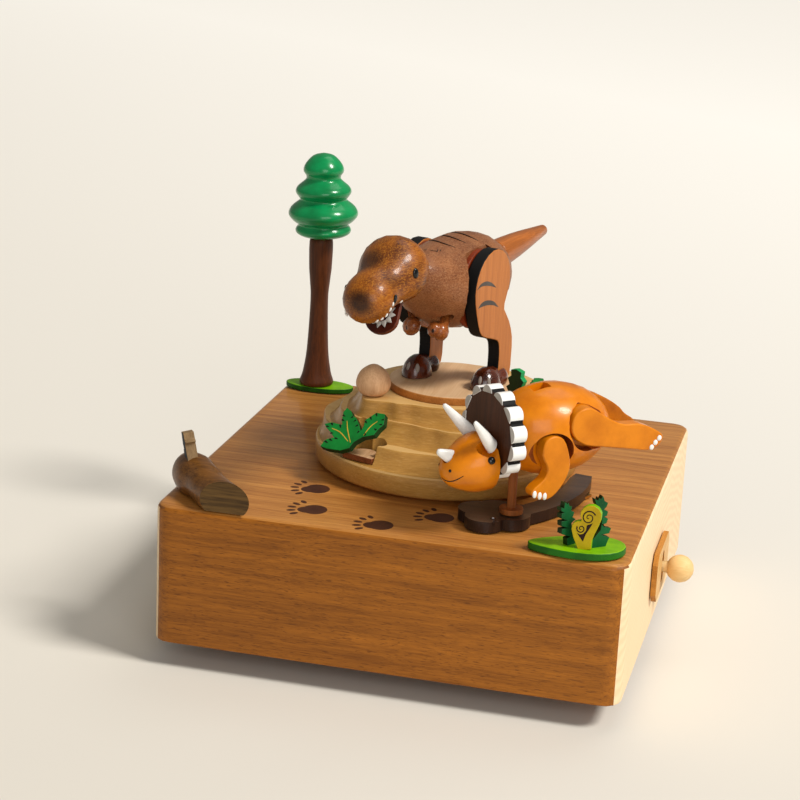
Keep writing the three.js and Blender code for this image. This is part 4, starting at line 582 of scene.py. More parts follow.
@dataclass
class Workshop:
    """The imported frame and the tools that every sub-assembly uses."""

    nodes: dict[str, bpy.types.Object]
    palette: Palette
    view: Viewpoint
    skins: dict[str, BVHTree] = field(default_factory=dict)

    def copy(self, node: str) -> bmesh.types.BMesh:
        """Returns a merged copy of a CAD node with its flat faces whole."""
        bm = bmesh.new()
        bm.from_mesh(self.nodes[node].data)
        bmesh.ops.remove_doubles(bm, verts=bm.verts, dist=WELD)
        if node in FITTED_BOXES:
            self.fit(bm, FITTED_BOXES[node])
        for layer in list(bm.loops.layers.uv):
            bm.loops.layers.uv.remove(layer)
        bmesh.ops.dissolve_limit(
            bm, angle_limit=math.radians(0.4), verts=bm.verts, edges=bm.edges, delimit=set(),
        )
        return bm

    def cut(self, piece: bpy.types.Object, cutters: bmesh.types.BMesh) -> None:
        """Cuts a mesh of closed shapes from a piece for good."""
        bmesh.ops.recalc_face_normals(cutters, faces=cutters.faces)
        mesh = bpy.data.meshes.new("cutters")
        cutters.to_mesh(mesh)
        cutters.free()
        tool = bpy.data.objects.new("cutters", mesh)
        bpy.context.scene.collection.objects.link(tool)
        boolean = piece.modifiers.new("recess", "BOOLEAN")
        boolean.operation, boolean.solver, boolean.object = "DIFFERENCE", "EXACT", tool
        boolean.use_self = True
        bpy.context.view_layer.update()
        graph = bpy.context.evaluated_depsgraph_get()
        result = bpy.data.meshes.new_from_object(piece.evaluated_get(graph), depsgraph=graph)
        piece.modifiers.clear()
        piece.data = result
        bpy.data.objects.remove(tool)

    @staticmethod
    def fit(bm: bmesh.types.BMesh, box: Sequence[float]) -> None:
        """Stretches a mesh a little, to the box in millimetres that the photograph shows for it."""
        for axis in range(3):
            values = [v.co[axis] for v in bm.verts]
            low, high = min(values), max(values)
            new_low, new_high = box[axis] * MM, box[axis + 3] * MM
            for vert in bm.verts:
                vert.co[axis] = new_low + (vert.co[axis] - low) * (new_high - new_low) / (high - low)

    def add(
        self,
        bm: bmesh.types.BMesh,
        name: str,
        body: str,
        slot: str,
        finishes: Sequence[str],
        replaces: Sequence[str] = (),
        sharp: float = 35.0,
    ) -> bpy.types.Object:
        """Turns a mesh into a piece of the model.

        Args:
            bm: The mesh, in the frame of the model and in metres.
            name: The name of the piece.
            body: The CAD body that it moves with.
            slot: The record's material slot; not used.
            finishes: The names of its materials, in the order of its material numbers.
            replaces: The CAD nodes that it stands for.
            sharp: The angle in degrees from which an edge stays sharp.

        Returns:
            The object.
        """
        for face in bm.faces:
            face.smooth = True
        for edge in bm.edges:
            edge.smooth = len(edge.link_faces) == 2 and edge.calc_face_angle(0) < math.radians(sharp)
        mesh = bpy.data.meshes.new(name)
        bm.to_mesh(mesh)
        bm.free()
        piece = bpy.data.objects.new(name, mesh)
        bpy.context.scene.collection.objects.link(piece)
        for finish in finishes:
            mesh.materials.append(self.palette[finish])
        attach(piece, body)
        if replaces:
            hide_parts(*replaces)
        LOG.info("%s on %s, %d faces", name, body, len(mesh.polygons))
        return piece

    def edged(self, piece: bpy.types.Object, width: float, segments: int = 2) -> bpy.types.Object:
        """Rounds the hard edges of a piece by a width in millimetres."""
        bevel = piece.modifiers.new("edges", "BEVEL")
        bevel.width, bevel.segments, bevel.profile = width * MM, segments, 0.5
        bevel.limit_method, bevel.angle_limit, bevel.material = "ANGLE", math.radians(38), -1
        bevel.use_clamp_overlap = True
        return piece

    def rounded(self, bm: bmesh.types.BMesh, crease_from: float = 33.0) -> bmesh.types.BMesh:
        """Joins a copy's triangles into quads and creases its hard edges, ready to be subdivided."""
        bmesh.ops.join_triangles(
            bm, faces=bm.faces, angle_face_threshold=math.radians(35), angle_shape_threshold=math.radians(75),
        )
        crease = bm.edges.layers.float.new("crease_edge")
        for edge in bm.edges:
            if len(edge.link_faces) == 2 and edge.calc_face_angle(0) > math.radians(crease_from):
                edge[crease] = 0.9
        return bm

    def subdivided(self, piece: bpy.types.Object, levels: int = 2) -> bpy.types.Object:
        """Smooths a piece with a subdivision surface."""
        smooth = piece.modifiers.new("smooth", "SUBSURF")
        smooth.levels = smooth.render_levels = levels
        return piece

    def dress(self, node: str, finish: str) -> None:
        """Gives a CAD node that stays its material."""
        mesh_object = self.nodes[node]
        mesh_object.data.materials.clear()
        mesh_object.data.materials.append(self.palette[finish])
        LOG.info("%s dressed in %s", node, finish)

    def skin(self, piece: bpy.types.Object) -> BVHTree:
        """Returns the tree of a piece's finished surface."""
        if piece.name not in self.skins:
            bpy.context.view_layer.update()
            graph = bpy.context.evaluated_depsgraph_get()
            self.skins[piece.name] = BVHTree.FromObject(piece, graph)
        return self.skins[piece.name]

    def seen(self, piece: bpy.types.Object, pixel: Pixel) -> tuple[Vector, Vector]:
        """Finds the point of a piece that the camera sees at a pixel.

        Args:
            piece: The piece.
            pixel: The pixel in the square frame.

        Returns:
            The point and its outward normal. Past the outline, the nearest point is taken.
        """
        start, way = Vector(self.view.place), self.view.ray(pixel)
        tree = self.skin(piece)
        place, normal, _, _ = tree.ray_cast(start, way)
        if place is None:
            reach = (Vector(piece.bound_box[0]) - start).dot(way)
            place, normal, _, _ = tree.find_nearest(start + way * reach)
        if normal.dot(way) > 0:
            normal = -normal
        return place, normal


def seat(place: Vector, normal: Vector, upward: Vector = Vector((0, 0, 1))) -> Matrix:
    """Returns the frame of a small piece on a surface: Z along the normal, Y as far up as may be."""
    side = upward.cross(normal)
    if side.length < 1e-6:
        side = Vector((1, 0, 0))
    side.normalize()
    up = normal.cross(side).normalized()
    turned = Matrix((side, up, normal)).transposed().to_4x4()
    return Matrix.Translation(place) @ turned


def lens(bm: bmesh.types.BMesh, frame: Matrix, radii: Sequence[float], steps: int = 20) -> None:
    """Adds a smooth lens.

    Args:
        bm: The mesh that it goes into.
        frame: Its own frame.
        radii: Its three radii in millimetres.
        steps: The number of steps round it.
    """
    shape = frame @ Matrix.Diagonal((*[r * MM for r in radii], 1))
    bmesh.ops.create_uvsphere(bm, u_segments=steps, v_segments=steps // 2, radius=1, matrix=shape)


def eased(points: Sequence[Vector], steps: int) -> list[Vector]:
    """Runs a smooth line through points, with a number of steps between each pair."""
    line = []
    padded = [points[0] * 2 - points[1], *points, points[-1] * 2 - points[-2]]
    for i in range(1, len(padded) - 2):
        a, b, c, d = padded[i - 1 : i + 3]
        for k in range(steps):
            t = k / steps
            line.append(
                0.5 * (2 * b + (c - a) * t + (2 * a - 5 * b + 4 * c - d) * t * t + (3 * b - 3 * c + d - a) * t**3)
            )
    line.append(points[-1].copy())
    return line


def stroke(
    bm: bmesh.types.BMesh,
    spine: Sequence[Vector],
    halves: Sequence[float],
    mirrored: Matrix | None = None,
) -> list[bmesh.types.BMVert]:
    """Adds a round, tapered line with closed ends.

    Args:
        bm: The mesh that it goes into.
        spine: The points of the line.
        halves: The half width at each point, in millimetres.
        mirrored: A matrix that lays the line elsewhere.

    Returns:
        The new corners.
    """
    curve = bpy.data.curves.new("line", "CURVE")
    curve.dimensions, curve.bevel_depth, curve.bevel_resolution = "3D", MM, 3
    curve.use_fill_caps = True
    line = curve.splines.new("POLY")
    line.points.add(len(spine) - 1)
    for point, place, half in zip(line.points, spine, halves):
        point.co, point.radius = (*place, 1), half
    holder = bpy.data.objects.new("line", curve)
    mesh = bpy.data.meshes.new_from_object(holder)
    shape = bmesh.new()
    shape.from_mesh(mesh)
    bmesh.ops.remove_doubles(shape, verts=shape.verts, dist=1e-7)
    rims = [edge for edge in shape.edges if edge.is_boundary]
    if rims:
        bmesh.ops.holes_fill(shape, edges=rims, sides=0)
    if mirrored is not None:
        bmesh.ops.transform(shape, matrix=mirrored, verts=shape.verts)
    bmesh.ops.recalc_face_normals(shape, faces=shape.faces)
    shape.to_mesh(mesh)
    shape.free()
    known = set(bm.verts)
    bm.from_mesh(mesh)
    new = [vert for vert in bm.verts if vert not in known]
    bpy.data.objects.remove(holder)
    bpy.data.curves.remove(curve)
    bpy.data.meshes.remove(mesh)
    return new


def flattened(verts: Sequence[bmesh.types.BMVert], place: Vector, normal: Vector, share: float) -> None:
    """Presses corners towards a plane, so that a share of their height above it is left."""
    for vert in verts:
        vert.co -= normal * ((vert.co - place).dot(normal) * (1 - share))


def spread(
    stations: Sequence[tuple[float, float, float]], steps: int = 5,
) -> tuple[list[Vector], list[float]]:
    """Runs a smooth line through pixels that each carry a half width.

    Args:
        stations: Pixels with a half width in pixels.
        steps: The number of steps between two of them.

    Returns:
        The pixels as vectors, and the half widths.
    """
    line = eased([Vector(s) for s in stations], steps)
    return line, [max(p.z, 0.12) for p in line]


def spun(
    profile: Sequence[tuple[float, float]], foot: Sequence[float], steps: int = 40, ease: int = 4,
) -> bmesh.types.BMesh:
    """Turns a profile about a standing axis.

    Args:
        profile: Radii and heights in millimetres, from axis to axis.
        foot: The place of its zero point in millimetres.
        steps: The number of steps round.
        ease: The number of smooth steps between two points of the profile.

    Returns:
        The closed form.
    """
    bm = bmesh.new()
    line = eased([Vector((radius, 0, height)) for radius, height in profile], ease)
    verts = [bm.verts.new((max(p.x, 0) * MM, 0, p.z * MM)) for p in line]
    edges = [bm.edges.new(pair) for pair in zip(verts, verts[1:])]
    bmesh.ops.spin(
        bm, geom=[*verts, *edges], cent=(0, 0, 0), axis=(0, 0, 1), angle=math.tau, steps=steps, use_merge=True,
    )
    bmesh.ops.remove_doubles(bm, verts=bm.verts, dist=WELD)
    bmesh.ops.recalc_face_normals(bm, faces=bm.faces)
    bmesh.ops.translate(bm, verts=bm.verts, vec=Vector(foot) * MM)
    return bm


def lofted(
    stations: Sequence[tuple[float, float, float, float]], frame: Matrix, steps: int = 40,
) -> bmesh.types.BMesh:
    """Skins ovals along X.

    Args:
        stations: Place, half width, half height and rise of each oval, in millimetres.
        frame: The frame in which X runs along the form.
        steps: The number of steps round.

    Returns:
        The closed form.
    """
    bm = bmesh.new()
    rings = []
    for along, wide, tall, rise in stations:
        place = Matrix.Translation(Vector((along, 0, rise)) * MM) @ Matrix.Rotation(math.pi / 2, 4, "Y")
        shape = place @ Matrix.Diagonal((tall * MM, wide * MM, 1, 1))
        made = bmesh.ops.create_circle(bm, segments=steps, radius=1, matrix=shape)
        rings.append(list({edge for vert in made["verts"] for edge in vert.link_edges}))
    for first, second in zip(rings, rings[1:]):
        bmesh.ops.bridge_loops(bm, edges=[*first, *second])
    for ring in (rings[0], rings[-1]):
        bmesh.ops.contextual_create(bm, geom=ring)
    bmesh.ops.recalc_face_normals(bm, faces=bm.faces)
    bmesh.ops.transform(bm, matrix=frame, verts=bm.verts)
    return bm


def sawn(bm: bmesh.types.BMesh, place: Vector, outward: Vector, finish: int = 0) -> None:
    """Saws a closed form off at a plane and closes it with a face of that material number."""
    geometry = [*bm.verts, *bm.edges, *bm.faces]
    made = bmesh.ops.bisect_plane(bm, geom=geometry, plane_co=place, plane_no=outward, clear_outer=True)
    rim = [g for g in made["geom_cut"] if isinstance(g, bmesh.types.BMEdge)]
    if rim:
        filled = bmesh.ops.edgenet_fill(bm, edges=rim, mat_nr=finish)
        for face in filled["faces"]:
            face.material_index = finish
    bmesh.ops.recalc_face_normals(bm, faces=bm.faces)


@dataclass(frozen=True)
class Drawing:
    """The outline of a sawn board as the photograph shows it: points on an enlarged crop."""

    corner: Pixel
    scale: float
    points: tuple[Pixel, ...]

    def pixels(self) -> list[Pixel]:
        """Returns the points as pixels of the photograph."""
        return [(self.corner[0] + x / self.scale, self.corner[1] + y / self.scale) for x, y in self.points]


@dataclass
class Subassembly:
    """A group of pieces that are built and dressed together."""

    shop: Workshop

    def board_plane(self, node: str) -> tuple[Vector, Vector]:
        """Returns a point and the normal of a board's flat face that looks at the camera."""
        bm = self.shop.copy(node)
        face = max(bm.faces, key=lambda f: f.calc_area())
        normal = face.normal.copy()
        if normal.dot(Vector(self.shop.view.place) - face.calc_center_median()) < 0:
            normal = -normal
        place = max((v.co.copy() for v in bm.verts), key=lambda co: co.dot(normal))
        bm.free()
        return place, normal

    def on_plane(self, pixel: Pixel, place: Vector, normal: Vector) -> Vector:
        """Returns the point of a plane that the camera sees at a pixel."""
        start, way = Vector(self.shop.view.place), self.shop.view.ray(pixel)
        return start + way * ((place - start).dot(normal) / way.dot(normal))

    def drawn(
        self, bm: bmesh.types.BMesh, drawing: Drawing, node: str, thickness: float, lift: float = 0.0,
    ) -> Vector:
        """Saws a board to a drawn outline, in the plane of a CAD board.

        Args:
            bm: The mesh that it goes into.
            drawing: The outline.
            node: The CAD board.
            thickness: Its thickness in millimetres.
            lift: How far its front lies in front of the CAD board's, in millimetres.

        Returns:
            The normal of its front.
        """
        place, normal = self.board_plane(node)
        place = place + normal * lift * MM
        verts = [bm.verts.new(self.on_plane(p, place, normal)) for p in drawing.pixels()]
        front = bm.faces.new(verts)
        made = bmesh.ops.extrude_face_region(bm, geom=[front], use_keep_orig=True)
        back = [g for g in made["geom"] if isinstance(g, bmesh.types.BMVert)]
        bmesh.ops.translate(bm, verts=back, vec=-normal * thickness * MM)
        bmesh.ops.recalc_face_normals(bm, faces=bm.faces)
        return normal

    def sawn_board(
        self, drawing: Drawing, node: str, slot: str, face: str, edge: str, thickness: float,
    ) -> bpy.types.Object:
        """Replaces a board of the deck by one with the drawn outline."""
        bm = bmesh.new()
        normal = self.drawn(bm, drawing, node, thickness)
        for face_ in bm.faces:
            face_.material_index = 0 if abs(face_.normal.dot(normal)) > 0.85 else 1
        piece = self.shop.add(bm, f"{node}_look", "housing", slot, [face, edge], [node])
        return self.shop.edged(piece, 0.12)

    def plate(
        self, node: str, body: str, slot: str, face: str, edge: str, axis: Vector | None = None,
        soften: float = 0.25, both: bool = True, limit: float = 0.85,
    ) -> bpy.types.Object:
        """Dresses a sawn board: one finish on its flat faces and another round its edge.

        Args:
            node: The CAD node.
            body: The body that it rides on.
            slot: The record's material slot.
            face: The finish of the flat faces.
            edge: The finish of the edge.
            axis: The normal of the flat faces. Without it, that of the largest face is taken.
            soften: The rounding of the edges in millimetres.
            both: Whether the back face has the finish of the front.
            limit: The cosine from which a face counts as flat.

        Returns:
            The object.
        """
        bm = self.shop.copy(node)
        if axis is None:
            axis = max(bm.faces, key=lambda f: f.calc_area()).normal.copy()
        for face_ in bm.faces:
            facing = face_.normal.dot(axis)
            face_.material_index = 0 if (abs(facing) if both else facing) > limit else 1
        piece = self.shop.add(bm, f"{node}_look", body, slot, [face, edge], [node])
        return self.shop.edged(piece, soften) if soften else piece

    def plain(
        self, node: str, body: str, slot: str, finish: str, soften: float = 0.0, sharp: float = 35.0,
    ) -> bpy.types.Object:
        """Dresses a piece in one finish.

        Args:
            node: The CAD node.
            body: The body that it rides on.
            slot: The record's material slot.
            finish: The finish.
            soften: The rounding of its edges in millimetres.
            sharp: The angle in degrees from which an edge stays sharp.

        Returns:
            The object.
        """
        piece = self.shop.add(self.shop.copy(node), f"{node}_look", body, slot, [finish], [node], sharp)
        return self.shop.edged(piece, soften) if soften else piece

    def small(
        self, bm: bmesh.types.BMesh, name: str, body: str, slot: str, *finishes: str
    ) -> bpy.types.Object:
        """Turns a mesh of small closed shapes into a piece, with their normals outward."""
        bmesh.ops.recalc_face_normals(bm, faces=bm.faces)
        return self.shop.add(bm, name, body, slot, finishes, sharp=60.0)

    def dot(
        self, bm: bmesh.types.BMesh, piece: bpy.types.Object, pixel: Pixel, radii: Sequence[float],
        mirrored: Matrix | None = None, lift: float = 0.0,
    ) -> Vector:
        """Sets a lens into a surface where the camera sees a pixel.

        Args:
            bm: The mesh that it goes into.
            piece: The piece that carries it.
            pixel: The pixel.
            radii: Its radii in millimetres: across, upward and along the normal.
            mirrored: A mirror that adds a second lens on the other side.
            lift: How far its middle stands off the surface, in millimetres.

        Returns:
            The point on the surface.
        """
        place, normal = self.shop.seen(piece, pixel)
        frame = seat(place + normal * lift * MM, normal)
        lens(bm, frame, radii)
        if mirrored is not None:
            lens(bm, mirrored @ frame, radii)
        return place

    def line(
        self, bm: bmesh.types.BMesh, piece: bpy.types.Object, stations: Sequence[tuple[float, float, float]],
        share: float = 1.0, mirrored: Matrix | None = None, steps: int = 5,
        plane: tuple[Vector, Vector] | None = None,
    ) -> None:
        """Lays a tapered line on a surface where the camera sees a row of pixels.

        Args:
            bm: The mesh that it goes into.
            piece: The piece that carries it.
            stations: Pixels with a half width in pixels.
            share: The height that is left of the round section.
            mirrored: A mirror that adds a second line on the other side.
            steps: The number of steps between two pixels.
            plane: A point and the normal of the plane that carries it, in place of the piece.
        """
        pixels, halves = spread(stations, steps)
        if plane is None:
            seen = [self.shop.seen(piece, (p.x, p.y)) for p in pixels]
        else:
            seen = [(self.on_plane((p.x, p.y), *plane), plane[1]) for p in pixels]
        spine = [place for place, _ in seen]
        widths = [
            half * (place - Vector(self.shop.view.place)).length / (self.shop.view.lens / 36 * 800) / MM
            for half, (place, _) in zip(halves, seen)
        ]
        middle = seen[len(seen) // 2]
        for matrix in [None] if mirrored is None else [None, mirrored]:
            verts = stroke(bm, spine, widths)
            if share < 1:
                flattened(verts, middle[0], middle[1], share)
            if matrix is not None:
                bmesh.ops.transform(bm, matrix=matrix, verts=verts)


@dataclass
class Box(Subassembly):
    """The block of the box, its underside, the knob and the turned base."""

    def build(self) -> None:
        """Dresses the block and what is fixed to it."""
        bm = self.shop.copy("housing")
        for face in bm.faces:
            n = face.normal
            face.material_index = 0 if abs(n.y) > 0.7 else 1 if abs(n.x) > 0.7 else 2 if n.z > 0.7 else 3
        finishes = ["box_front", "box_end", "box_top", "base_wood"]
        piece = self.shop.add(bm, "box_block", "housing", "brown_wood", finishes, ["housing"], 30)
        self.shop.edged(piece, 0.7, 3)
        self.plain("bottom_panel", "housing", "tan_plywood", "base_wood", 0.3)
        x_axis = Vector((1, 0, 0))
        self.plate("knob_plate", "housing", "sand_wood", "knob_plate_wood", "knob_plate_rim", x_axis, 0.35)
        self.plain("stop_lever", "switch", "sand_wood", "knob_wood")
        self.plain("winding_base", "winding", "brown_wood", "base_wood", 0.3)
        self.plain("base_pad", "winding", "felt", "felt", 0.2)


@dataclass(frozen=True)
class Print:
    """One paw print burnt into the deck: its centre and the sizes of its pad and toes."""

    x: float
    y: float
    turn: float = 0.0
    pad: tuple[float, float] = (3.3, 3.5)
    toe: tuple[float, float] = (1.25, 0.72)
    reach: float = 5.2


@dataclass
class Hill(Subassembly):
    """The stepped hill, its disc, the nest, the eggs and the leaves that stand on it."""

    egg: tuple[tuple[float, float], ...] = (
        (0, 0), (0.55, 0), (0.88, 0.14), (1, 0.34), (0.95, 0.55), (0.75, 0.77), (0.4, 0.93), (0.13, 1.0),
        (0, 1.0),
    )
    deck: float = 45.0
    rim: float = 36.5
    lift: float = 1.4
    run: float = 4.0
    dip: float = 0.5
    disc_recess: float = 17.8
    shift: tuple[float, float] = (-0.5, -0.8)
    nest: tuple[float, float] = (-18.4, -30.4)
    pocket: float = 52.25
    pocket_top: float = 66
    nest_turn: float = 159
    pocket_play: tuple[float, float] = (1.06, 1.07)
    scoop_radius: float = 3.3
    scoop_spread: float = 2.4
    scoop_back: float = 4.6
    scoop_height: float = 14
    cove: tuple[tuple[float, float], ...] = ((1, 0), (0.72, 0.1), (0.5, 0.27), (0.3, 0.48), (0.15, 0.72), (0.05, 0.88))
    tiers: tuple[tuple[tuple[float, ...], float, float], ...] = (
        ((0.932, 0.932, 0.932, 0.937, 0.945, 0.945, 0.945, 0.945, 0.953, 0.959, 0.959, 0.959,
          0.98, 0.955, 0.92, 0.92, 0.899, 0.89, 0.871, 0.888, 0.904, 0.918, 0.932, 0.932), 7.5, 12.3),
        ((0.822, 0.822, 0.822, 0.822, 0.822, 0.822, 0.822, 0.822, 0.822, 0.822, 0.822, 0.808,
          0.789, 0.825, 0.86, 0.836, 0.68, 0.649, 0.674, 0.729, 0.773, 0.8, 0.822, 0.822), 12.3, 17.2),
        ((0.753, 0.74, 0.726, 0.712, 0.696, 0.679, 0.666, 0.658, 0.658, 0.658, 0.658, 0.656,
          0.655, 0.679, 0.699, 0.778, 0.647, 0.575, 0.564, 0.564, 0.564, 0.658, 0.726, 0.745), 17.2, 22.0),
    )
    prints: tuple[Print, ...] = (
        Print(-28.7, -35.2, 8), Print(-24.9, -50.8, 0), Print(-5.8, -55.7, -4), Print(7.7, -44.5, -12),
        Print(31.1, -31.3, -12),
    )
    veins: tuple[tuple[tuple[float, ...], ...], ...] = (
        ((332, 428.3, 0.4), (340, 432.2, 0.6), (348, 441.3, 0.4)),
        ((347, 421.0, 0.4), (347.6, 430, 0.6), (350.3, 442.5, 0.4)),
        ((377.5, 421.3, 0.4), (370.5, 426.5, 0.6), (363.5, 435.2, 0.4)),
    )

    cluster: Drawing = Drawing((190, 400), 4, (
        (655, 168), (690, 148), (735, 140), (752, 118), (775, 97), (780, 56), (745, 50), (722, 66), (700, 80),
        (694, 104), (682, 124), (676, 98), (664, 70), (652, 64), (645, 44), (628, 30), (613, 48), (607, 80),
        (608, 98), (590, 94), (566, 88), (538, 95), (545, 110), (560, 126), (575, 150), (555, 153), (538, 160),
        (520, 184), (545, 194), (600, 202), (636, 192),
    ))
    notches: tuple[tuple[tuple[float, float], ...], ...] = (
        ((612, 60), (621, 66)), ((608, 78), (618, 84)), ((652, 66), (643, 72)), ((664, 80), (654, 86)),
        ((672, 100), (660, 106)), ((745, 54), (748, 66)), ((722, 68), (726, 80)), ((702, 84), (708, 94)),
        ((776, 78), (764, 80)), ((768, 98), (756, 98)), ((745, 120), (736, 114)), ((700, 142), (700, 128)),
        ((566, 92), (572, 102)), ((546, 104), (558, 108)), ((562, 132), (574, 132)), ((580, 152), (592, 156)),
        ((558, 156), (570, 164)), ((540, 164), (552, 172)), ((600, 100), (604, 112)), ((676, 124), (668, 134)),
    )

    def build(self) -> None:
        """Dresses the hill and everything on it."""
        up = Vector((0, 0, 1))
        bm = self.shop.copy("hill")
        bore = min(v.co.xy.length for v in bm.verts) / MM
        bm.free()
        self.terraces(bore)
        self.plate("turntable_disc", "drive", "pink_wood", "disc_top", "disc_rim", up, 0.4)
        bm = spun([(r * 4.75, z * 8.4) for r, z in self.egg], (-18.4, -16, 67.3))
        self.shop.add(bm, "egg_look", "housing", "pink_wood", ["egg_wood"], ["egg"], 60)
        self.plate("nest", "housing", "pink_wood", "nest_top", "nest_rim", up, 0.2)
        cluster = self.sawn_board(self.cluster, "leaf_cluster", "leaf_green", "leaf_face", "leaf_rim", 1.8)
        # The upright leaf's face is dark green as painted shade, its edges bright green as painted light.
        self.plate("upright_leaf", "housing", "leaf_green", "leaf_dark_edge_and_shade", "leaf_painted_light", soften=0.2)
        self.plate("side_leaf", "housing", "leaf_green", "leaf_face", "leaf_dark_edge_and_shade", soften=0.2)
        plane = self.board_plane("leaf_cluster")
        bm = bmesh.new()
        for vein in self.veins:
            self.line(bm, cluster, vein, 0.4, plane=plane)
        self.small(bm, "leaf_veins", "housing", "leaf_green", "gold_line")
        bm = bmesh.new()
        for (x0, y0), (x1, y1) in self.notches:
            ends = Drawing(self.cluster.corner, self.cluster.scale, ((x0, y0), (x1, y1))).pixels()
            middle = ((ends[0][0] + ends[1][0]) / 2, (ends[0][1] + ends[1][1]) / 2)
            nick = ((*ends[0], 1.1), (*middle, 0.8), (*ends[1], 0.2))
            self.line(bm, cluster, nick, 0.3, plane=plane, steps=2)
        self.small(bm, "leaf_notches", "housing", "leaf_green", "burnt")
        self.paw_prints()

    def tier_radius(self, shares: Sequence[float], angle: float) -> float:
        """Returns the radius of a tier's edge at an angle, smooth between its shares."""
        place = angle / math.tau * len(shares)
        low = math.floor(place)
        blend = (1 - math.cos(math.pi * (place - low))) / 2
        start, end = shares[low % len(shares)], shares[(low + 1) % len(shares)]
        return self.rim * (start + (end - start) * blend)

    def stations(self, angle: float, bore: float) -> list[tuple[float, float, int]]:
        """Lists radius, height and finish from the underside over the tiers to the bore.

        Args:
            angle: The angle from +X.
            bore: The radius of the bore in millimetres.

        Returns:
            The stations; each one's finish belongs to the band below it.
        """
        rim = self.rim + self.shift[0] * math.cos(angle) + self.shift[1] * math.sin(angle)
        bottom, soft = self.deck + self.lift, 0.4
        first = self.deck + self.tiers[0][1]
        rows = [
            (rim - 2 * soft, bottom, 0), (rim, bottom + 0.8, 1), (rim, first - 2 * soft, 1),
            (rim - 0.12, first - 0.45, 1), (rim - soft, first, 0),
        ]
        outside = rim - soft
        for shares, low, high in self.tiers:
            edge = min(self.tier_radius(shares, angle), outside - 2 * soft)
            run = min(self.run, (outside - edge) * 0.75)
            dip = self.dip * run / self.run
            for number, (out, up) in enumerate(self.cove):
                height = self.deck + low - dip + (high - low + dip) * up
                rows.append((edge + run * out, height, 1 if number else 0))
            rows.append((edge - 0.1, self.deck + high - 0.12, 1))
            rows.append((edge - soft, self.deck + high, 0))
            outside = edge - soft
        top, recess = self.deck + self.tiers[-1][2], self.disc_recess
        rows += [
            (recess, top, 0), (recess, top - 1.2, 1), (bore, top - 1.2, 0), (bore, bottom, 0),
        ]
        return rows

    def terraces(self, bore: float) -> None:
        """Turns the hill with its scalloped steps and hollowed risers, and mills the nest's pocket."""
        steps = 120
        columns = [self.stations(math.tau * k / steps, bore) for k in range(steps)]
        levels, blank = len(columns[0]), 10
        bm = bmesh.new()
        line = [bm.verts.new((blank, 0, level)) for level in range(levels)]
        edges = [bm.edges.new(pair) for pair in zip(line, line[1:] + line[:1])]
        bmesh.ops.spin(
            bm, geom=[*line, *edges], cent=(0, 0, 0), axis=(0, 0, 1), angle=math.tau, steps=steps, use_merge=True,
        )
        bmesh.ops.remove_doubles(bm, verts=bm.verts, dist=1e-3)
        for face in bm.faces:
            touched = {round(vert.co.z) for vert in face.verts}
            closing = touched == {0, levels - 1}
            face.material_index = columns[0][0 if closing else max(touched)][2]
        for vert in bm.verts:
            number = round(math.atan2(vert.co.y, vert.co.x) / math.tau * steps) % steps
            radius, height, _finish = columns[number][round(vert.co.z)]
            turned = math.tau * number / steps
            vert.co = Vector((radius * math.cos(turned), radius * math.sin(turned), height)) * MM
        bmesh.ops.recalc_face_normals(bm, faces=bm.faces)
        # Treads take the light finish; risers, coves and the rim wall take the darker one, which is partly painted
        # shade.
        finishes = ["sand_tread", "riser_gold_and_shade"]
        hill = self.shop.add(bm, "hill_look", "housing", "sand_wood", finishes, ["hill"], 50)
        self.shop.cut(hill, self.pocket_cutters())

    def pocket_cutters(self) -> bmesh.types.BMesh:
        """Makes the shapes that mill the nest's pocket: its outline with play, and two scoops behind."""
        cutters = self.shop.copy("nest")
        middle = Vector((*self.nest, 0)) * MM
        play = Matrix.Diagonal((*self.pocket_play, 1, 1))
        grow = Matrix.Translation(middle) @ play @ Matrix.Translation(-middle)
        bmesh.ops.transform(cutters, matrix=grow, verts=cutters.verts)
        highest = max(v.co.z for v in cutters.verts)
        for vert in cutters.verts:
            vert.co.z = (self.pocket_top if vert.co.z > highest - 0.5 * MM else self.pocket) * MM
        turn = math.radians(self.nest_turn)
        radius = self.scoop_radius * MM
        for across in (-self.scoop_spread, self.scoop_spread):
            place = middle + Vector((
                across * math.cos(turn) + self.scoop_back * math.sin(turn),
                across * math.sin(turn) - self.scoop_back * math.cos(turn),
                self.pocket + self.scoop_height / 2,
            )) * MM
            bmesh.ops.create_cone(
                cutters, cap_ends=True, segments=48, radius1=radius, radius2=radius,
                depth=self.scoop_height * MM, matrix=Matrix.Translation(place),
            )
        # The pocket walls take the darker riser finish, partly painted shade.
        for face in cutters.faces:
            face.material_index = 1
        return cutters

    def paw_prints(self) -> None:
        """Lays the prints of a bear-like paw, toes to the left, on the deck."""
        bm = bmesh.new()
        for print_ in self.prints:
            centre = Matrix.Translation((print_.x * MM, print_.y * MM, self.deck * MM))
            turned = centre @ Matrix.Rotation(math.radians(print_.turn), 4, "Z")
            lens(bm, turned @ Matrix.Translation((1.0 * MM, 0, 0)), (*print_.pad, 0.07), 24)
            lens(bm, turned @ Matrix.Translation((-0.8 * MM, -0.9 * MM, 0)), (2.6, 2.3, 0.065), 24)
            for i in range(5):
                angle = math.radians(180 + (i - 2) * 25)
                reach = print_.reach * MM
                spot = Matrix.Translation((reach * math.cos(angle), 1.15 * reach * math.sin(angle), 0))
                lens(bm, turned @ spot @ Matrix.Rotation(angle, 4, "Z"), (*print_.toe, 0.06), 12)
        self.small(bm, "paw_prints", "housing", "brown_wood", "print_brown")


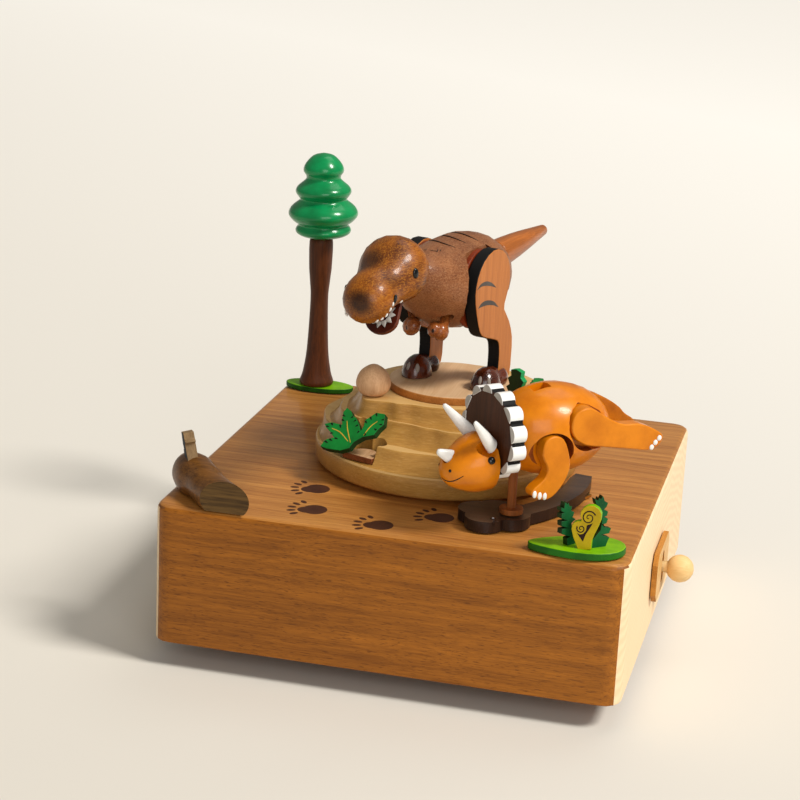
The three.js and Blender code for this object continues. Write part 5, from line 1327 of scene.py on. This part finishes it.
@dataclass
class Garden(Subassembly):
    """The tree, the ferns and the rolled stone with its sprout."""

    large_curl: tuple[tuple[float, float], float, float, float, float] = ((588.9, 517.9), 6.6, 0.5, 1.7, 20)
    small_curl: tuple[tuple[float, float], float, float, float, float] = ((581.0, 528.6), 4.0, 0.4, 1.4, 150)
    trunk: tuple[tuple[float, float], ...] = (
        (0, 0), (1, 0), (0.86, 0.08), (0.66, 0.24), (0.54, 0.57), (0.62, 0.71), (0.7, 0.82), (0.66, 1),
        (0, 1),
    )
    canopy: tuple[tuple[float, float], ...] = (
        (0, 0), (0.5, 0), (0.74, 0.035), (0.8, 0.085), (0.72, 0.15), (0.86, 0.19), (1, 0.27), (0.92, 0.355),
        (0.68, 0.44), (0.72, 0.48), (0.8, 0.54), (0.74, 0.6), (0.52, 0.68), (0.5, 0.73), (0.58, 0.79),
        (0.52, 0.87), (0.3, 0.965), (0, 1),
    )
    stone_shares: tuple[tuple[float, ...], ...] = (
        (0, 0.15, 0.172, 0.43), (0.025, 0.5, 0.573, 0.43), (0.086, 0.82, 0.951, 0.43), (0.262, 1, 1.146, 0.43),
        (0.385, 0.882, 1.021, 0.452), (0.508, 0.884, 1.045, 0.393), (0.631, 0.875, 0.989, 0.336),
        (1, 0.875, 0.989, 0.336),
    )
    sprout: tuple[tuple[float, float], ...] = (
        (-0.5, 0), (0.5, 0), (0.45, 0.45), (0.31, 0.5), (0.4, 0.62), (0.33, 1), (-0.18, 1), (-0.25, 0.8),
        (-0.45, 0.74), (-0.23, 0.66), (-0.3, 0.4),
    )
    fiddlehead: Drawing = Drawing((555, 490), 12, (
        (270, 708), (245, 640), (215, 560), (197, 470), (204, 420), (235, 386), (280, 374), (312, 378),
        (318, 350), (302, 310), (310, 262), (345, 215), (400, 190), (468, 190), (528, 228), (560, 290),
        (552, 370), (512, 460), (470, 540), (442, 610), (432, 716), (350, 720),
    ))
    # The gap between the curl and the stem, filled by a dark sheet: painted shade.
    gap_shade: Drawing = Drawing((555, 490), 12, (
        (382, 425), (452, 402), (424, 452), (370, 530), (334, 620), (292, 560), (262, 515), (300, 535),
        (340, 525), (372, 488),
    ))
    left_fern: Drawing = Drawing((555, 490), 12, (
        (260, 700), (150, 690), (146, 580), (190, 560), (125, 545), (78, 528), (84, 470), (150, 456),
        (80, 436), (80, 378), (150, 366), (78, 345), (82, 285), (112, 272), (76, 255), (80, 210), (112, 224),
        (122, 158), (134, 148), (150, 178), (164, 152), (178, 198), (206, 192), (196, 252), (236, 264),
        (215, 328), (252, 350), (200, 400), (240, 560),
    ))
    right_fern: Drawing = Drawing((555, 490), 12, (
        (440, 700), (450, 600), (500, 540), (548, 480), (565, 380), (565, 300), (535, 220), (492, 172),
        (480, 110), (522, 128), (530, 96), (556, 112), (575, 70), (592, 100), (600, 142), (640, 155),
        (622, 205), (588, 238), (640, 260), (626, 312), (586, 322), (640, 345), (620, 402), (572, 416),
        (604, 448), (676, 460), (652, 520), (560, 540), (655, 568), (622, 640), (602, 702),
    ))

    def build(self) -> None:
        """Dresses the plants."""
        up = Vector((0, 0, 1))
        self.plate("tree_base", "housing", "lime_green", "lime_top", "lime_edge", up, 0.25)
        tree, crown, foot, low = (-54.0, 53.1), (-53.5, 53.1), 47.1, 93.4
        bm = spun([(r * 5.0, z * (93.1 - foot)) for r, z in self.trunk], (*tree, foot), 32)
        self.shop.add(bm, "tree_trunk_look", "housing", "bark_brown", ["trunk_wood"], ["tree_trunk"], 50)
        bm = spun([(r * 10.5, z * 25.4) for r, z in self.canopy], (*crown, low), 44)
        bmesh.ops.rotate(
            bm, verts=bm.verts, cent=Vector((*crown, low)) * MM,
            matrix=Matrix.Rotation(math.radians(-1.5), 3, "Y"),
        )
        self.shop.add(bm, "tree_canopy_look", "housing", "canopy_green", ["canopy"], ["tree_canopy"], 70)
        self.plate("fern_base", "housing", "lime_green", "lime_top", "lime_edge", up, 0.3)
        self.sawn_board(self.left_fern, "fern_left", "leaf_green", "leaf_deep", "leaf_dark_edge_and_shade", 1.6)
        self.sawn_board(self.right_fern, "fern_right", "leaf_green", "leaf_deep", "leaf_dark_edge_and_shade", 1.6)
        curls = self.sawn_board(self.fiddlehead, "fiddlehead", "olive", "olive", "lime_top", 1.6)
        plane = self.board_plane("fiddlehead")
        bm = bmesh.new()
        for curl in (self.large_curl, self.small_curl):
            self.line(bm, curls, self.spiral(*curl), 0.4, steps=2, plane=plane)
        # A dark sheet in the gap's outline: painted shade where the gap is.
        self.drawn(bm, self.gap_shade, "fiddlehead", 1.7, 0.05)
        self.small(bm, "fiddlehead_lines", "housing", "olive", "dark_paint_and_shade")
        self.stone()

    @staticmethod
    def spiral(
        centre: Pixel, start: float, end: float, turns: float, angle: float
    ) -> list[tuple[float, float, float]]:
        """Returns the stations of a spiral drawn inward, with a half width in pixels."""
        steps = round(turns * 14)
        stations = []
        for i in range(steps + 1):
            share = i / steps
            radius = start * (1 - share) ** 0.85 + end
            turn = math.radians(angle + 360 * turns * share)
            place = (centre[0] + radius * math.cos(turn), centre[1] - radius * math.sin(turn))
            stations.append((*place, 0.75 - 0.3 * share))
        return stations

    def stone(self) -> None:
        """Dresses the turned stone, with its sawn face, and the sprout."""
        length, width, height, bulb = 32.5, 11.4, 10.7, 0.262
        stations = [
            ((p.x - bulb) * length, p.y * width / 2, p.z * height / 2, rise * height)
            for p, rise in zip(eased([Vector(s[:3]) for s in self.stone_shares], 3), self.rises())
        ]
        turn = Matrix.Rotation(math.radians(-44.3), 4, "Z")
        bm = lofted(stations, Matrix.Translation(Vector((-58.2, -49.9, 45)) * MM) @ turn, 36)
        sawn(bm, Vector((0, -62.7, 0)) * MM, Vector((0, -1, 0)), 1)
        sawn(bm, Vector((0, 0, 45.3)) * MM, Vector((0, 0, -1)))
        inner, reach = -40.0, -64.2
        lowest = min(v.co.x for v in bm.verts) / MM
        for vert in bm.verts:
            vert.co.x = (inner + (vert.co.x / MM - inner) * (reach - inner) / (lowest - inner)) * MM
        piece = self.shop.add(
            bm, "stone_look", "housing", "olive", ["stone_wood", "stone_face"], ["rock_gourd"], 40,
        )
        self.shop.edged(piece, 0.3)
        bm = bmesh.new()
        front = bm.faces.new([bm.verts.new((x * 4.6 * MM, 1.45 * MM, z * 9.1 * MM)) for x, z in self.sprout])
        made = bmesh.ops.extrude_face_region(bm, geom=[front], use_keep_orig=True)
        back = [g for g in made["geom"] if isinstance(g, bmesh.types.BMVert)]
        bmesh.ops.translate(bm, verts=back, vec=(0, -2.9 * MM, 0))
        bmesh.ops.recalc_face_normals(bm, faces=bm.faces)
        for face in bm.faces:
            face.material_index = 0 if abs(face.normal.y) > 0.9 else 1
        lean = Matrix.Rotation(math.radians(-10), 4, "Y") @ Matrix.Rotation(math.radians(122), 4, "Z")
        place = Matrix.Translation(Vector((-57.6, -50.8, 53.0)) * MM)
        bmesh.ops.transform(bm, matrix=place @ lean, verts=bm.verts)
        piece = self.shop.add(
            bm, "sprout_look", "housing", "leaf_green", ["sprout_blue", "sprout_tan"], ["sprout"], 30,
        )
        self.shop.edged(piece, 0.15)

    def rises(self) -> list[float]:
        """Returns the rise of each smooth station of the stone."""
        line = eased([Vector((s[3], 0, 0)) for s in self.stone_shares], 3)
        return [p.x for p in line]


@dataclass(frozen=True)
class Spot:
    """A place of painted shade on the head's stain: a pixel, a radius in millimetres and a depth."""

    pixel: Pixel
    radius: float
    depth: float


@dataclass
class Rex(Subassembly):
    """The standing figure on the disc, facing the lower left."""

    # The places where shade is painted into the head's stain.
    spots: tuple[Spot, ...] = (Spot((368, 262), 5.5, 0.75), Spot((360, 303), 4.5, 0.85), Spot((392, 280), 3.5, 0.35))
    teeth: tuple[tuple[float, float], ...] = ((396.7, 305.5), (391.5, 310.5), (386.5, 315.2), (382, 318.8), (377.8, 322.3), (401, 301.5))
    petals: int = 9
    strokes: tuple[tuple[tuple[float, ...], ...], ...] = (
        ((423.3, 240, 0.3), (434.2, 240.8, 0.9), (445, 244.2, 0.9), (455.4, 247.5, 0.3)),
        ((432.5, 234.6, 0.3), (445, 235.8, 0.9), (455, 238.7, 0.9), (465.8, 242.9, 0.3)),
        ((446.7, 231.7, 0.3), (459.2, 233.3, 0.9), (469.2, 236.7, 0.9), (478.3, 240.8, 0.3)),
    )
    stripes: tuple[tuple[tuple[float, ...], ...], ...] = (
        ((477.2, 290.2, 0.3), (481.3, 285.4, 1.7), (486.5, 283.6, 2.4), (491.6, 284.6, 1.8), (496, 287.4, 0.3)),
        ((478.3, 308.6, 0.3), (481.9, 305, 2.2), (487, 302.9, 2.7), (493.2, 303.3, 2.1), (498.4, 307, 0.3)),
    )
    near_claws: tuple[tuple[float, ...], ...] = ((472.5, 380, 0.85, 2.1), (480, 381.2, 0.9, 2.2), (489, 382.3, 0.95, 2.2))
    far_claws: tuple[tuple[float, ...], ...] = ((408.5, 366.5, 0.95, 2.2), (417.5, 368.5, 1.1, 2.3), (402, 365, 0.6, 1.6))

    frame: Matrix = field(init=False)
    head_frame: Matrix = field(init=False)
    jaw_frame: Matrix = field(init=False)
    body_mirror: Matrix = field(init=False)
    head_mirror: Matrix = field(init=False)

    def __post_init__(self) -> None:
        """Works out the frames of the figure, its head and its jaw."""
        at = Matrix.Translation(Vector((0.5, 0.4, 69.1)) * MM) @ Matrix.Rotation(math.radians(-103), 4, "Z")
        hinge = Matrix.Translation(Vector((40.5, 0, 0)) * MM)
        head = at @ hinge @ Matrix.Rotation(math.radians(-5), 4, "Z") @ hinge.inverted()
        jaw = Matrix.Translation(Vector((42.3, 0, 32.8)) * MM) @ Matrix.Rotation(math.radians(56), 4, "Y")
        self.frame, self.head_frame = at, head
        self.jaw_frame = head @ jaw @ Matrix.Translation((0, 0, -0.3 * MM))
        flip = Matrix.Diagonal((1, -1, 1, 1))
        self.body_mirror = at @ flip @ at.inverted()
        self.head_mirror = head @ flip @ head.inverted()

    def build(self) -> None:
        """Dresses the figure."""
        self.head()
        body = self.plain("rex_body", "drive", "flecked_wood", "rex_body", sharp=45)
        bm = bmesh.new()
        for line in self.strokes:
            self.line(bm, body, line, mirrored=None)
        self.small(bm, "rex_back_strokes", "drive", "flecked_wood", "dark_paint_and_shade")
        self.plate("rex_tail", "drive", "tan_plywood", "tail_wood", "tail_wood", soften=0.3)
        for side in Side:
            word = side.value[1]
            self.plain(f"rex_hip_{word}", "drive", "flecked_wood", "hip_red", 0.2)
            self.plate(f"rex_leg_{word}", "drive", "tan_plywood", "leg_ply", "burnt", soften=0.3)
            self.plain(f"rex_foot_{word}", "drive", "dark_foot", "foot_gloss", 0.3)
            self.plain(f"rex_arm_{word}", "drive", "flecked_wood", "fist_gloss", sharp=55)
        self.leg_marks()
        self.holes()

    def head(self) -> None:
        """Dresses the head and sets in its eyes, teeth, tongue and jaw."""
        head = self.plain("rex_head", "drive", "flecked_wood", "rex_body", sharp=60)
        # Painted shade: the head's stain darkens round these seen places.
        marks = [(self.shop.seen(head, s.pixel)[0], s.radius, s.depth) for s in self.spots]
        finish = Flecked(
            "rex_head_gloss", "5E2C0C", "94500F", "C98428", dash=(1.8, 0.34), fleck_share=0.45,
            roughness=0.42, coat=0.18,
        )
        self.shop.palette.keep(finish.material(marks))
        head.data.materials.clear()
        head.data.materials.append(self.shop.palette["rex_head_gloss"])
        bm = bmesh.new()
        self.dot(bm, head, (415.7, 273.3), (0.9, 1.35, 0.45), self.head_mirror)
        self.dot(bm, head, (406.3, 302.5), (0.7, 1.3, 0.5), self.head_mirror)
        self.small(bm, "rex_eyes", "drive", "flecked_wood", "eye_black")
        bm = bmesh.new()
        for tooth in self.teeth:
            self.dot(bm, head, tooth, (0.34, 0.6, 0.3), self.head_mirror)
        self.small(bm, "rex_upper_teeth", "drive", "white_paint", "tooth_white")
        y_side = self.jaw_frame.to_3x3() @ Vector((0, 0, 1))
        self.plate("rex_jaw", "drive", "flecked_wood", "jaw_brown", "jaw_edge", y_side, 0.25)
        bm = bmesh.new()
        lens(bm, self.jaw_frame @ Matrix.Translation(Vector((4.9, 0, 0)) * MM), (2.3, 1.35, 0.45))
        self.small(bm, "rex_tongue", "drive", "flecked_wood", "tongue_red")
        bm = bmesh.new()
        for i in range(self.petals):
            angle = math.radians(-128 + 256 * i / (self.petals - 1))
            centre = Vector((5.2 + 3.0 * math.cos(angle), 3.0 * math.sin(angle), 0)) * MM
            turned = self.jaw_frame @ Matrix.Translation(centre) @ Matrix.Rotation(angle, 4, "Z")
            petal = turned @ Matrix.Rotation(math.pi / 2, 4, "Y") @ Matrix.Diagonal((0.4, 1, 1, 1))
            bmesh.ops.create_cone(
                bm, cap_ends=True, segments=14, radius1=1.0 * MM, radius2=0.1 * MM, depth=1.7 * MM, matrix=petal,
            )
        self.small(bm, "rex_lower_teeth", "drive", "white_paint", "tooth_grey")

    def leg_marks(self) -> None:
        """Lays the stripes on the thighs and the claws on the feet."""
        leg = bpy.data.objects["rex_leg_near_look"]
        bm = bmesh.new()
        for stripe in self.stripes:
            self.line(bm, leg, stripe, 0.08, self.body_mirror)
        self.small(bm, "rex_leg_stripes", "drive", "tan_plywood", "stripe_grey")
        bm = bmesh.new()
        for claws, word in ((self.near_claws, "near"), (self.far_claws, "far")):
            foot = bpy.data.objects[f"rex_foot_{word}_look"]
            for x, y, wide, high in claws:
                self.dot(bm, foot, (x, y - 0.5), (wide * 0.55, high * 0.55, 0.3))
        self.small(bm, "rex_claws", "drive", "dark_foot", "claw_grey")

    def holes(self) -> None:
        """Lays a dark lens on each fist where its hole is: painted shade in place of the hole."""
        bm = bmesh.new()
        self.dot(bm, bpy.data.objects["rex_arm_near_look"], (432.9, 330.8), (0.42, 0.55, 0.2))
        self.dot(bm, bpy.data.objects["rex_arm_far_look"], (406.7, 327.8), (0.4, 0.6, 0.2))
        self.small(bm, "rex_fist_hole_shade", "drive", "flecked_wood", "dark_paint_and_shade")


@dataclass
class Tri(Subassembly):
    """The prone, horned figure that circles the hill on its carrier."""

    frill_front: float = 4.9
    frill_depth: float = 3.4
    frill_height: float = 26.8
    frill_half: float = 12.6
    frill_rise: float = 11.4
    lobes: int = 13
    lobe_radius: float = 2.3
    lobe_sink: float = 1.7
    lobe_chord: float = 0.3
    flat: float = 7.8
    recesses: tuple[tuple[float, ...], ...] = ((-4.7, 22.5, 5.6), (-15.3, 28.6, 6.4))
    toes: tuple[tuple[str, tuple[float, float], float, float], ...] = (
        ("tri_front_leg_near", (534.6, 494.6), 0.6, 1.0), ("tri_front_leg_near", (539.7, 496), 0.6, 1.0),
        ("tri_front_leg_near", (544.7, 496.5), 0.6, 1.0), ("tri_rear_leg_near", (651.6, 447.2), 0.7, 0.75),
        ("tri_rear_leg_near", (655.4, 442.4), 0.7, 0.75), ("tri_rear_leg_near", (659.3, 437.9), 0.7, 0.75),
        ("tri_front_leg_far", (528.6, 489), 0.6, 1.0),
    )
    smile: tuple[tuple[float, ...], ...] = (
        (442.1, 477.7, 0.4), (445.7, 480.5, 0.6), (451.4, 481.3, 0.6), (457.1, 479.6, 0.6), (463.6, 476, 0.3),
    )

    frame: Matrix = field(init=False)
    mirror: Matrix = field(init=False)

    def __post_init__(self) -> None:
        """Works out the frame of the figure."""
        place = Matrix.Translation(Vector((26.8, -44.5, 45)) * MM)
        self.frame = place @ Matrix.Rotation(math.radians(222.4), 4, "Z")
        self.mirror = self.frame @ Matrix.Diagonal((1, -1, 1, 1)) @ self.frame.inverted()

    def build(self) -> None:
        """Dresses the figure and its carrier."""
        self.body()
        self.face()
        self.frill()
        self.plate("tri_tail", "orbit", "orange_wood", "tri_tail", "tri_tail", soften=0.35)
        for side in Side:
            for end in ("front", "rear"):
                node = f"tri_{end}_leg_{side.value[1]}"
                self.plate(node, "orbit", "orange_wood", "tri_limb", "tri_orange", soften=0.35)
        bm = bmesh.new()
        for node, pixel, wide, high in self.toes:
            self.dot(bm, bpy.data.objects[f"{node}_look"], pixel, (wide, high, 0.3))
        self.small(bm, "tri_toes", "orbit", "white_paint", "toe_white")
        self.stand()

    def body(self) -> None:
        """Cuts the round milled recesses behind the leg tops and dresses the body."""
        bm = self.shop.copy("tri_body")
        mesh_holder = self.shop.add(
            bm, "tri_body_look", "orbit", "orange_wood", ["tri_orange", "recess_painted_shade"], ["tri_body"], 45,
        )
        cutters = bmesh.new()
        for side in Side:
            sign = side.value[0]
            for x, z, radius in self.recesses:
                middle = Vector((x, sign * (self.flat + 0.05 + 10), z)) * MM
                place = self.frame @ Matrix.Translation(middle) @ Matrix.Rotation(math.pi / 2, 4, "X")
                bmesh.ops.create_cone(
                    cutters, cap_ends=True, segments=64, radius1=radius * MM, radius2=radius * MM,
                    depth=20 * MM, matrix=place,
                )
        # The recess walls take the darker finish: painted shade.
        for face in cutters.faces:
            face.material_index = 1
        self.shop.cut(mesh_holder, cutters)

    def face(self) -> None:
        """Dresses the head and horns, and adds the eyes, nostrils and smile."""
        head = self.plain("tri_head", "orbit", "orange_wood", "tri_orange", sharp=60)
        for horn in ("near", "far", "nose"):
            self.plain(f"tri_horn_{horn}", "orbit", "white_paint", "horn_white", sharp=60)
        bm = bmesh.new()
        self.dot(bm, head, (491.7, 460.6), (1.0, 1.0, 0.45), self.mirror)
        self.dot(bm, head, (450, 471), (0.42, 0.42, 0.2), self.mirror)
        self.line(bm, head, self.smile)
        self.small(bm, "tri_eyes_and_smile", "orbit", "orange_wood", "eye_black")

    def frill(self) -> None:
        """Dresses the frill and sets its rounded white lobes round the rim."""
        axis = self.frame.to_3x3() @ Vector((1, 0, 0))
        self.plate("tri_frill", "orbit", "walnut", "frill_walnut", "burnt", axis, 0.0)
        bm = bmesh.new()
        for k in range(self.lobes):
            angle = (2 * k + 1) * math.pi / self.lobes
            across, rise = self.frill_half * math.cos(angle), self.frill_rise * math.sin(angle)
            outward = math.atan2(math.sin(angle) / self.frill_rise, math.cos(angle) / self.frill_half)
            self.lobe(bm, across, rise, outward)
        piece = self.small(bm, "tri_frill_lobes", "orbit", "white_paint", "lobe_white", "lobe_painted_shade")
        self.shop.edged(piece, 0.55, 3)

    def lobe(self, bm: bmesh.types.BMesh, across: float, rise: float, outward: float) -> None:
        """Adds one lobe: a short round block with its inner side sawn off.

        Args:
            bm: The mesh that it goes into.
            across: Its place on the rim, across the figure, in millimetres.
            rise: Its place on the rim, upward, in millimetres.
            outward: The angle of the rim's outward direction.
        """
        one = bmesh.new()
        depth = (self.frill_depth + 0.5) * MM
        radius = self.lobe_radius * MM
        bmesh.ops.create_cone(one, cap_ends=True, segments=28, radius1=radius, radius2=radius, depth=depth)
        geometry = [*one.verts, *one.edges, *one.faces]
        made = bmesh.ops.bisect_plane(
            one, geom=geometry, plane_co=(self.lobe_chord * MM, 0, 0), plane_no=(1, 0, 0), clear_inner=True,
        )
        edges = [g for g in made["geom_cut"] if isinstance(g, bmesh.types.BMEdge)]
        bmesh.ops.contextual_create(one, geom=edges)
        for face in one.faces:
            # The front cap gets the grey finish: painted shade, as it faces away from the light.
            face.material_index = 1 if face.normal.z > 0.9 else 0
        spot = Vector((self.frill_front + self.frill_depth / 2, across, self.frill_height + rise)) * MM
        basis = Matrix(((0, 0, 1), (1, 0, 0), (0, 1, 0))).to_4x4()
        sink = Matrix.Translation((-self.lobe_sink * MM, 0, 0))
        turned = self.frame @ Matrix.Translation(spot) @ basis @ Matrix.Rotation(outward, 4, "Z") @ sink
        bmesh.ops.transform(one, matrix=turned, verts=one.verts)
        mesh = bpy.data.meshes.new("lobe")
        one.to_mesh(mesh)
        bm.from_mesh(mesh)
        one.free()
        bpy.data.meshes.remove(mesh)

    def stand(self) -> None:
        """Dresses the stem, the carrier with its keyhole, and the arm below."""
        up = Vector((0, 0, 1))
        self.plain("tri_stem", "orbit", "tan_plywood", "stem_wood", 0.15)
        carrier = self.plate("carrier", "orbit", "dark_carrier", "carrier_top", "carrier_dark", up, 0.35)
        self.plain("orbit_arm", "orbit", "brass", "brass")
        # The keyhole is a dark lens and line on the carrier: painted shade of the slot.
        bm = bmesh.new()
        self.dot(bm, carrier, (493, 518.6), (0.75, 0.75, 0.2))
        self.line(bm, carrier, ((493, 519, 1.2), (493.4, 523, 1.3), (493.6, 526, 1.0)), 0.4)
        self.small(bm, "carrier_keyhole_shade", "orbit", "dark_carrier", "dark_paint_and_shade")
        bm = bmesh.new()
        self.dot(bm, carrier, (493, 518.8), (0.4, 0.4, 0.45))
        self.small(bm, "carrier_pin", "orbit", "steel", "steel")


@dataclass
class Movement(Subassembly):
    """The clockwork in the sealed chamber, which nothing outside shows."""

    brass_nodes: tuple[str, ...] = ("spring_barrel", "drive_gear", "transfer_pinions", "orbit_gear", "pin_cylinder", "governor")
    steel_nodes: tuple[str, ...] = ("bedplate", "bridge", "centre_post", "comb", "winding_arbor", "mainspring")

    def build(self) -> None:
        """Dresses the clockwork."""
        for node in self.brass_nodes:
            self.shop.dress(node, "brass")
        for node in self.steel_nodes:
            self.shop.dress(node, "steel")


@dataclass
class Studio:
    """The pale floor, the lights and the world."""

    near_painted_shade: str = "D9D3C8"
    far_painted_light: str = "FBF8F2"
    sky_colour: str = "F4F2EC"

    def build(self, ground: float) -> None:
        """Builds the studio.

        Args:
            ground: The height of the floor in metres.
        """
        bm = bmesh.new()
        bmesh.ops.create_grid(bm, x_segments=1, y_segments=1, size=6)
        mesh = bpy.data.meshes.new("floor")
        bm.to_mesh(mesh)
        bm.free()
        floor = bpy.data.objects.new("floor", mesh)
        floor.location = (0, 0, ground)
        bpy.context.scene.collection.objects.link(floor)
        material = bpy.data.materials.new("floor")
        material.use_nodes = True
        shader = material.node_tree.nodes["Principled BSDF"]
        tree = material.node_tree
        # The floor's colour runs from darker at the front left to lighter at the back right: painted light falloff
        # across the backdrop.
        place = tree.nodes.new("ShaderNodeTexCoord")
        across = tree.nodes.new("ShaderNodeVectorMath")
        across.operation = "DOT_PRODUCT"
        across.inputs[1].default_value = (0.55, 0.84, 0)
        share = tree.nodes.new("ShaderNodeMapRange")
        share.inputs[1].default_value, share.inputs[2].default_value = -0.16, 0.75
        shades = tree.nodes.new("ShaderNodeValToRGB")
        for element, colour in zip(shades.color_ramp.elements, (self.near_painted_shade, self.far_painted_light)):
            element.color = (*tint(colour), 1)
        tree.links.new(place.outputs["Object"], across.inputs[0])
        tree.links.new(across.outputs["Value"], share.inputs[0])
        tree.links.new(share.outputs[0], shades.inputs[0])
        tree.links.new(shades.outputs[0], shader.inputs["Base Color"])
        shader.inputs["Roughness"].default_value = 0.9
        shader.inputs["Specular IOR Level"].default_value = 0.1
        mesh.materials.append(material)
        floor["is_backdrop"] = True
        self.sky()
        self.sun()
        self.soft_box("soft_front", (0.5, -1.15, 0.55), 0.7, 5.0)
        self.soft_box("soft_top", (0.2, 0.5, 1.1), 0.6, 1.8)

    def sky(self) -> None:
        """Makes the pale sky that fills the shadows."""
        world = bpy.data.worlds.new("sky")
        world.use_nodes = True
        bpy.context.scene.world = world
        nodes, links = world.node_tree.nodes, world.node_tree.links
        fill, output = nodes["Background"], nodes["World Output"]
        fill.inputs["Color"].default_value = (*tint(self.sky_colour), 1)
        fill.inputs["Strength"].default_value = 0.27
        seen = nodes.new("ShaderNodeBackground")
        seen.inputs["Color"].default_value = (*tint(self.sky_colour), 1)
        seen.inputs["Strength"].default_value = 0.95
        path, choice = nodes.new("ShaderNodeLightPath"), nodes.new("ShaderNodeMixShader")
        both = nodes.new("ShaderNodeMath")
        both.operation, both.use_clamp = "ADD", True
        links.new(path.outputs["Is Camera Ray"], both.inputs[0])
        links.new(path.outputs["Is Transmission Ray"], both.inputs[1])
        links.new(both.outputs[0], choice.inputs[0])
        links.new(fill.outputs[0], choice.inputs[1])
        links.new(seen.outputs[0], choice.inputs[2])
        links.new(choice.outputs[0], output.inputs[0])

    @staticmethod
    def sun() -> None:
        """Adds the main light, soft and from the right, above."""
        data = bpy.data.lights.new("sun", "SUN")
        data.energy, data.angle, data.color = 2.95, math.radians(16), (1, 0.97, 0.92)
        sun = bpy.data.objects.new("sun", data)
        sun.rotation_mode = "QUATERNION"
        sun.rotation_quaternion = Vector((0.64, -0.12, 0.76)).to_track_quat("Z", "Y")
        bpy.context.scene.collection.objects.link(sun)

    @staticmethod
    def soft_box(name: str, place: tuple[float, float, float], size: float, power: float) -> None:
        """Adds a large soft light that faces the box."""
        data = bpy.data.lights.new(name, "AREA")
        data.size, data.energy = size, power
        lamp = bpy.data.objects.new(name, data)
        lamp.location = place
        lamp.rotation_mode = "QUATERNION"
        lamp.rotation_quaternion = (Vector(place) - Vector((0, 0, 0.06))).to_track_quat("Z", "Y")
        bpy.context.scene.collection.objects.link(lamp)


def main() -> None:
    """Builds the whole scene."""
    logging.basicConfig(level=logging.INFO, format="%(message)s")
    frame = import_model()
    cad = [list(corner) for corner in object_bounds()]
    view = Viewpoint()
    view.build()
    shop = Workshop(frame["nodes"], Palette(), view)
    for part in (Box, Hill, Garden, Rex, Tri, Movement):
        part(shop).build()
    Studio().build(cad[0][2])
    bpy.context.scene.view_settings.view_transform = "Standard"


if __name__ == "__main__":
    main()
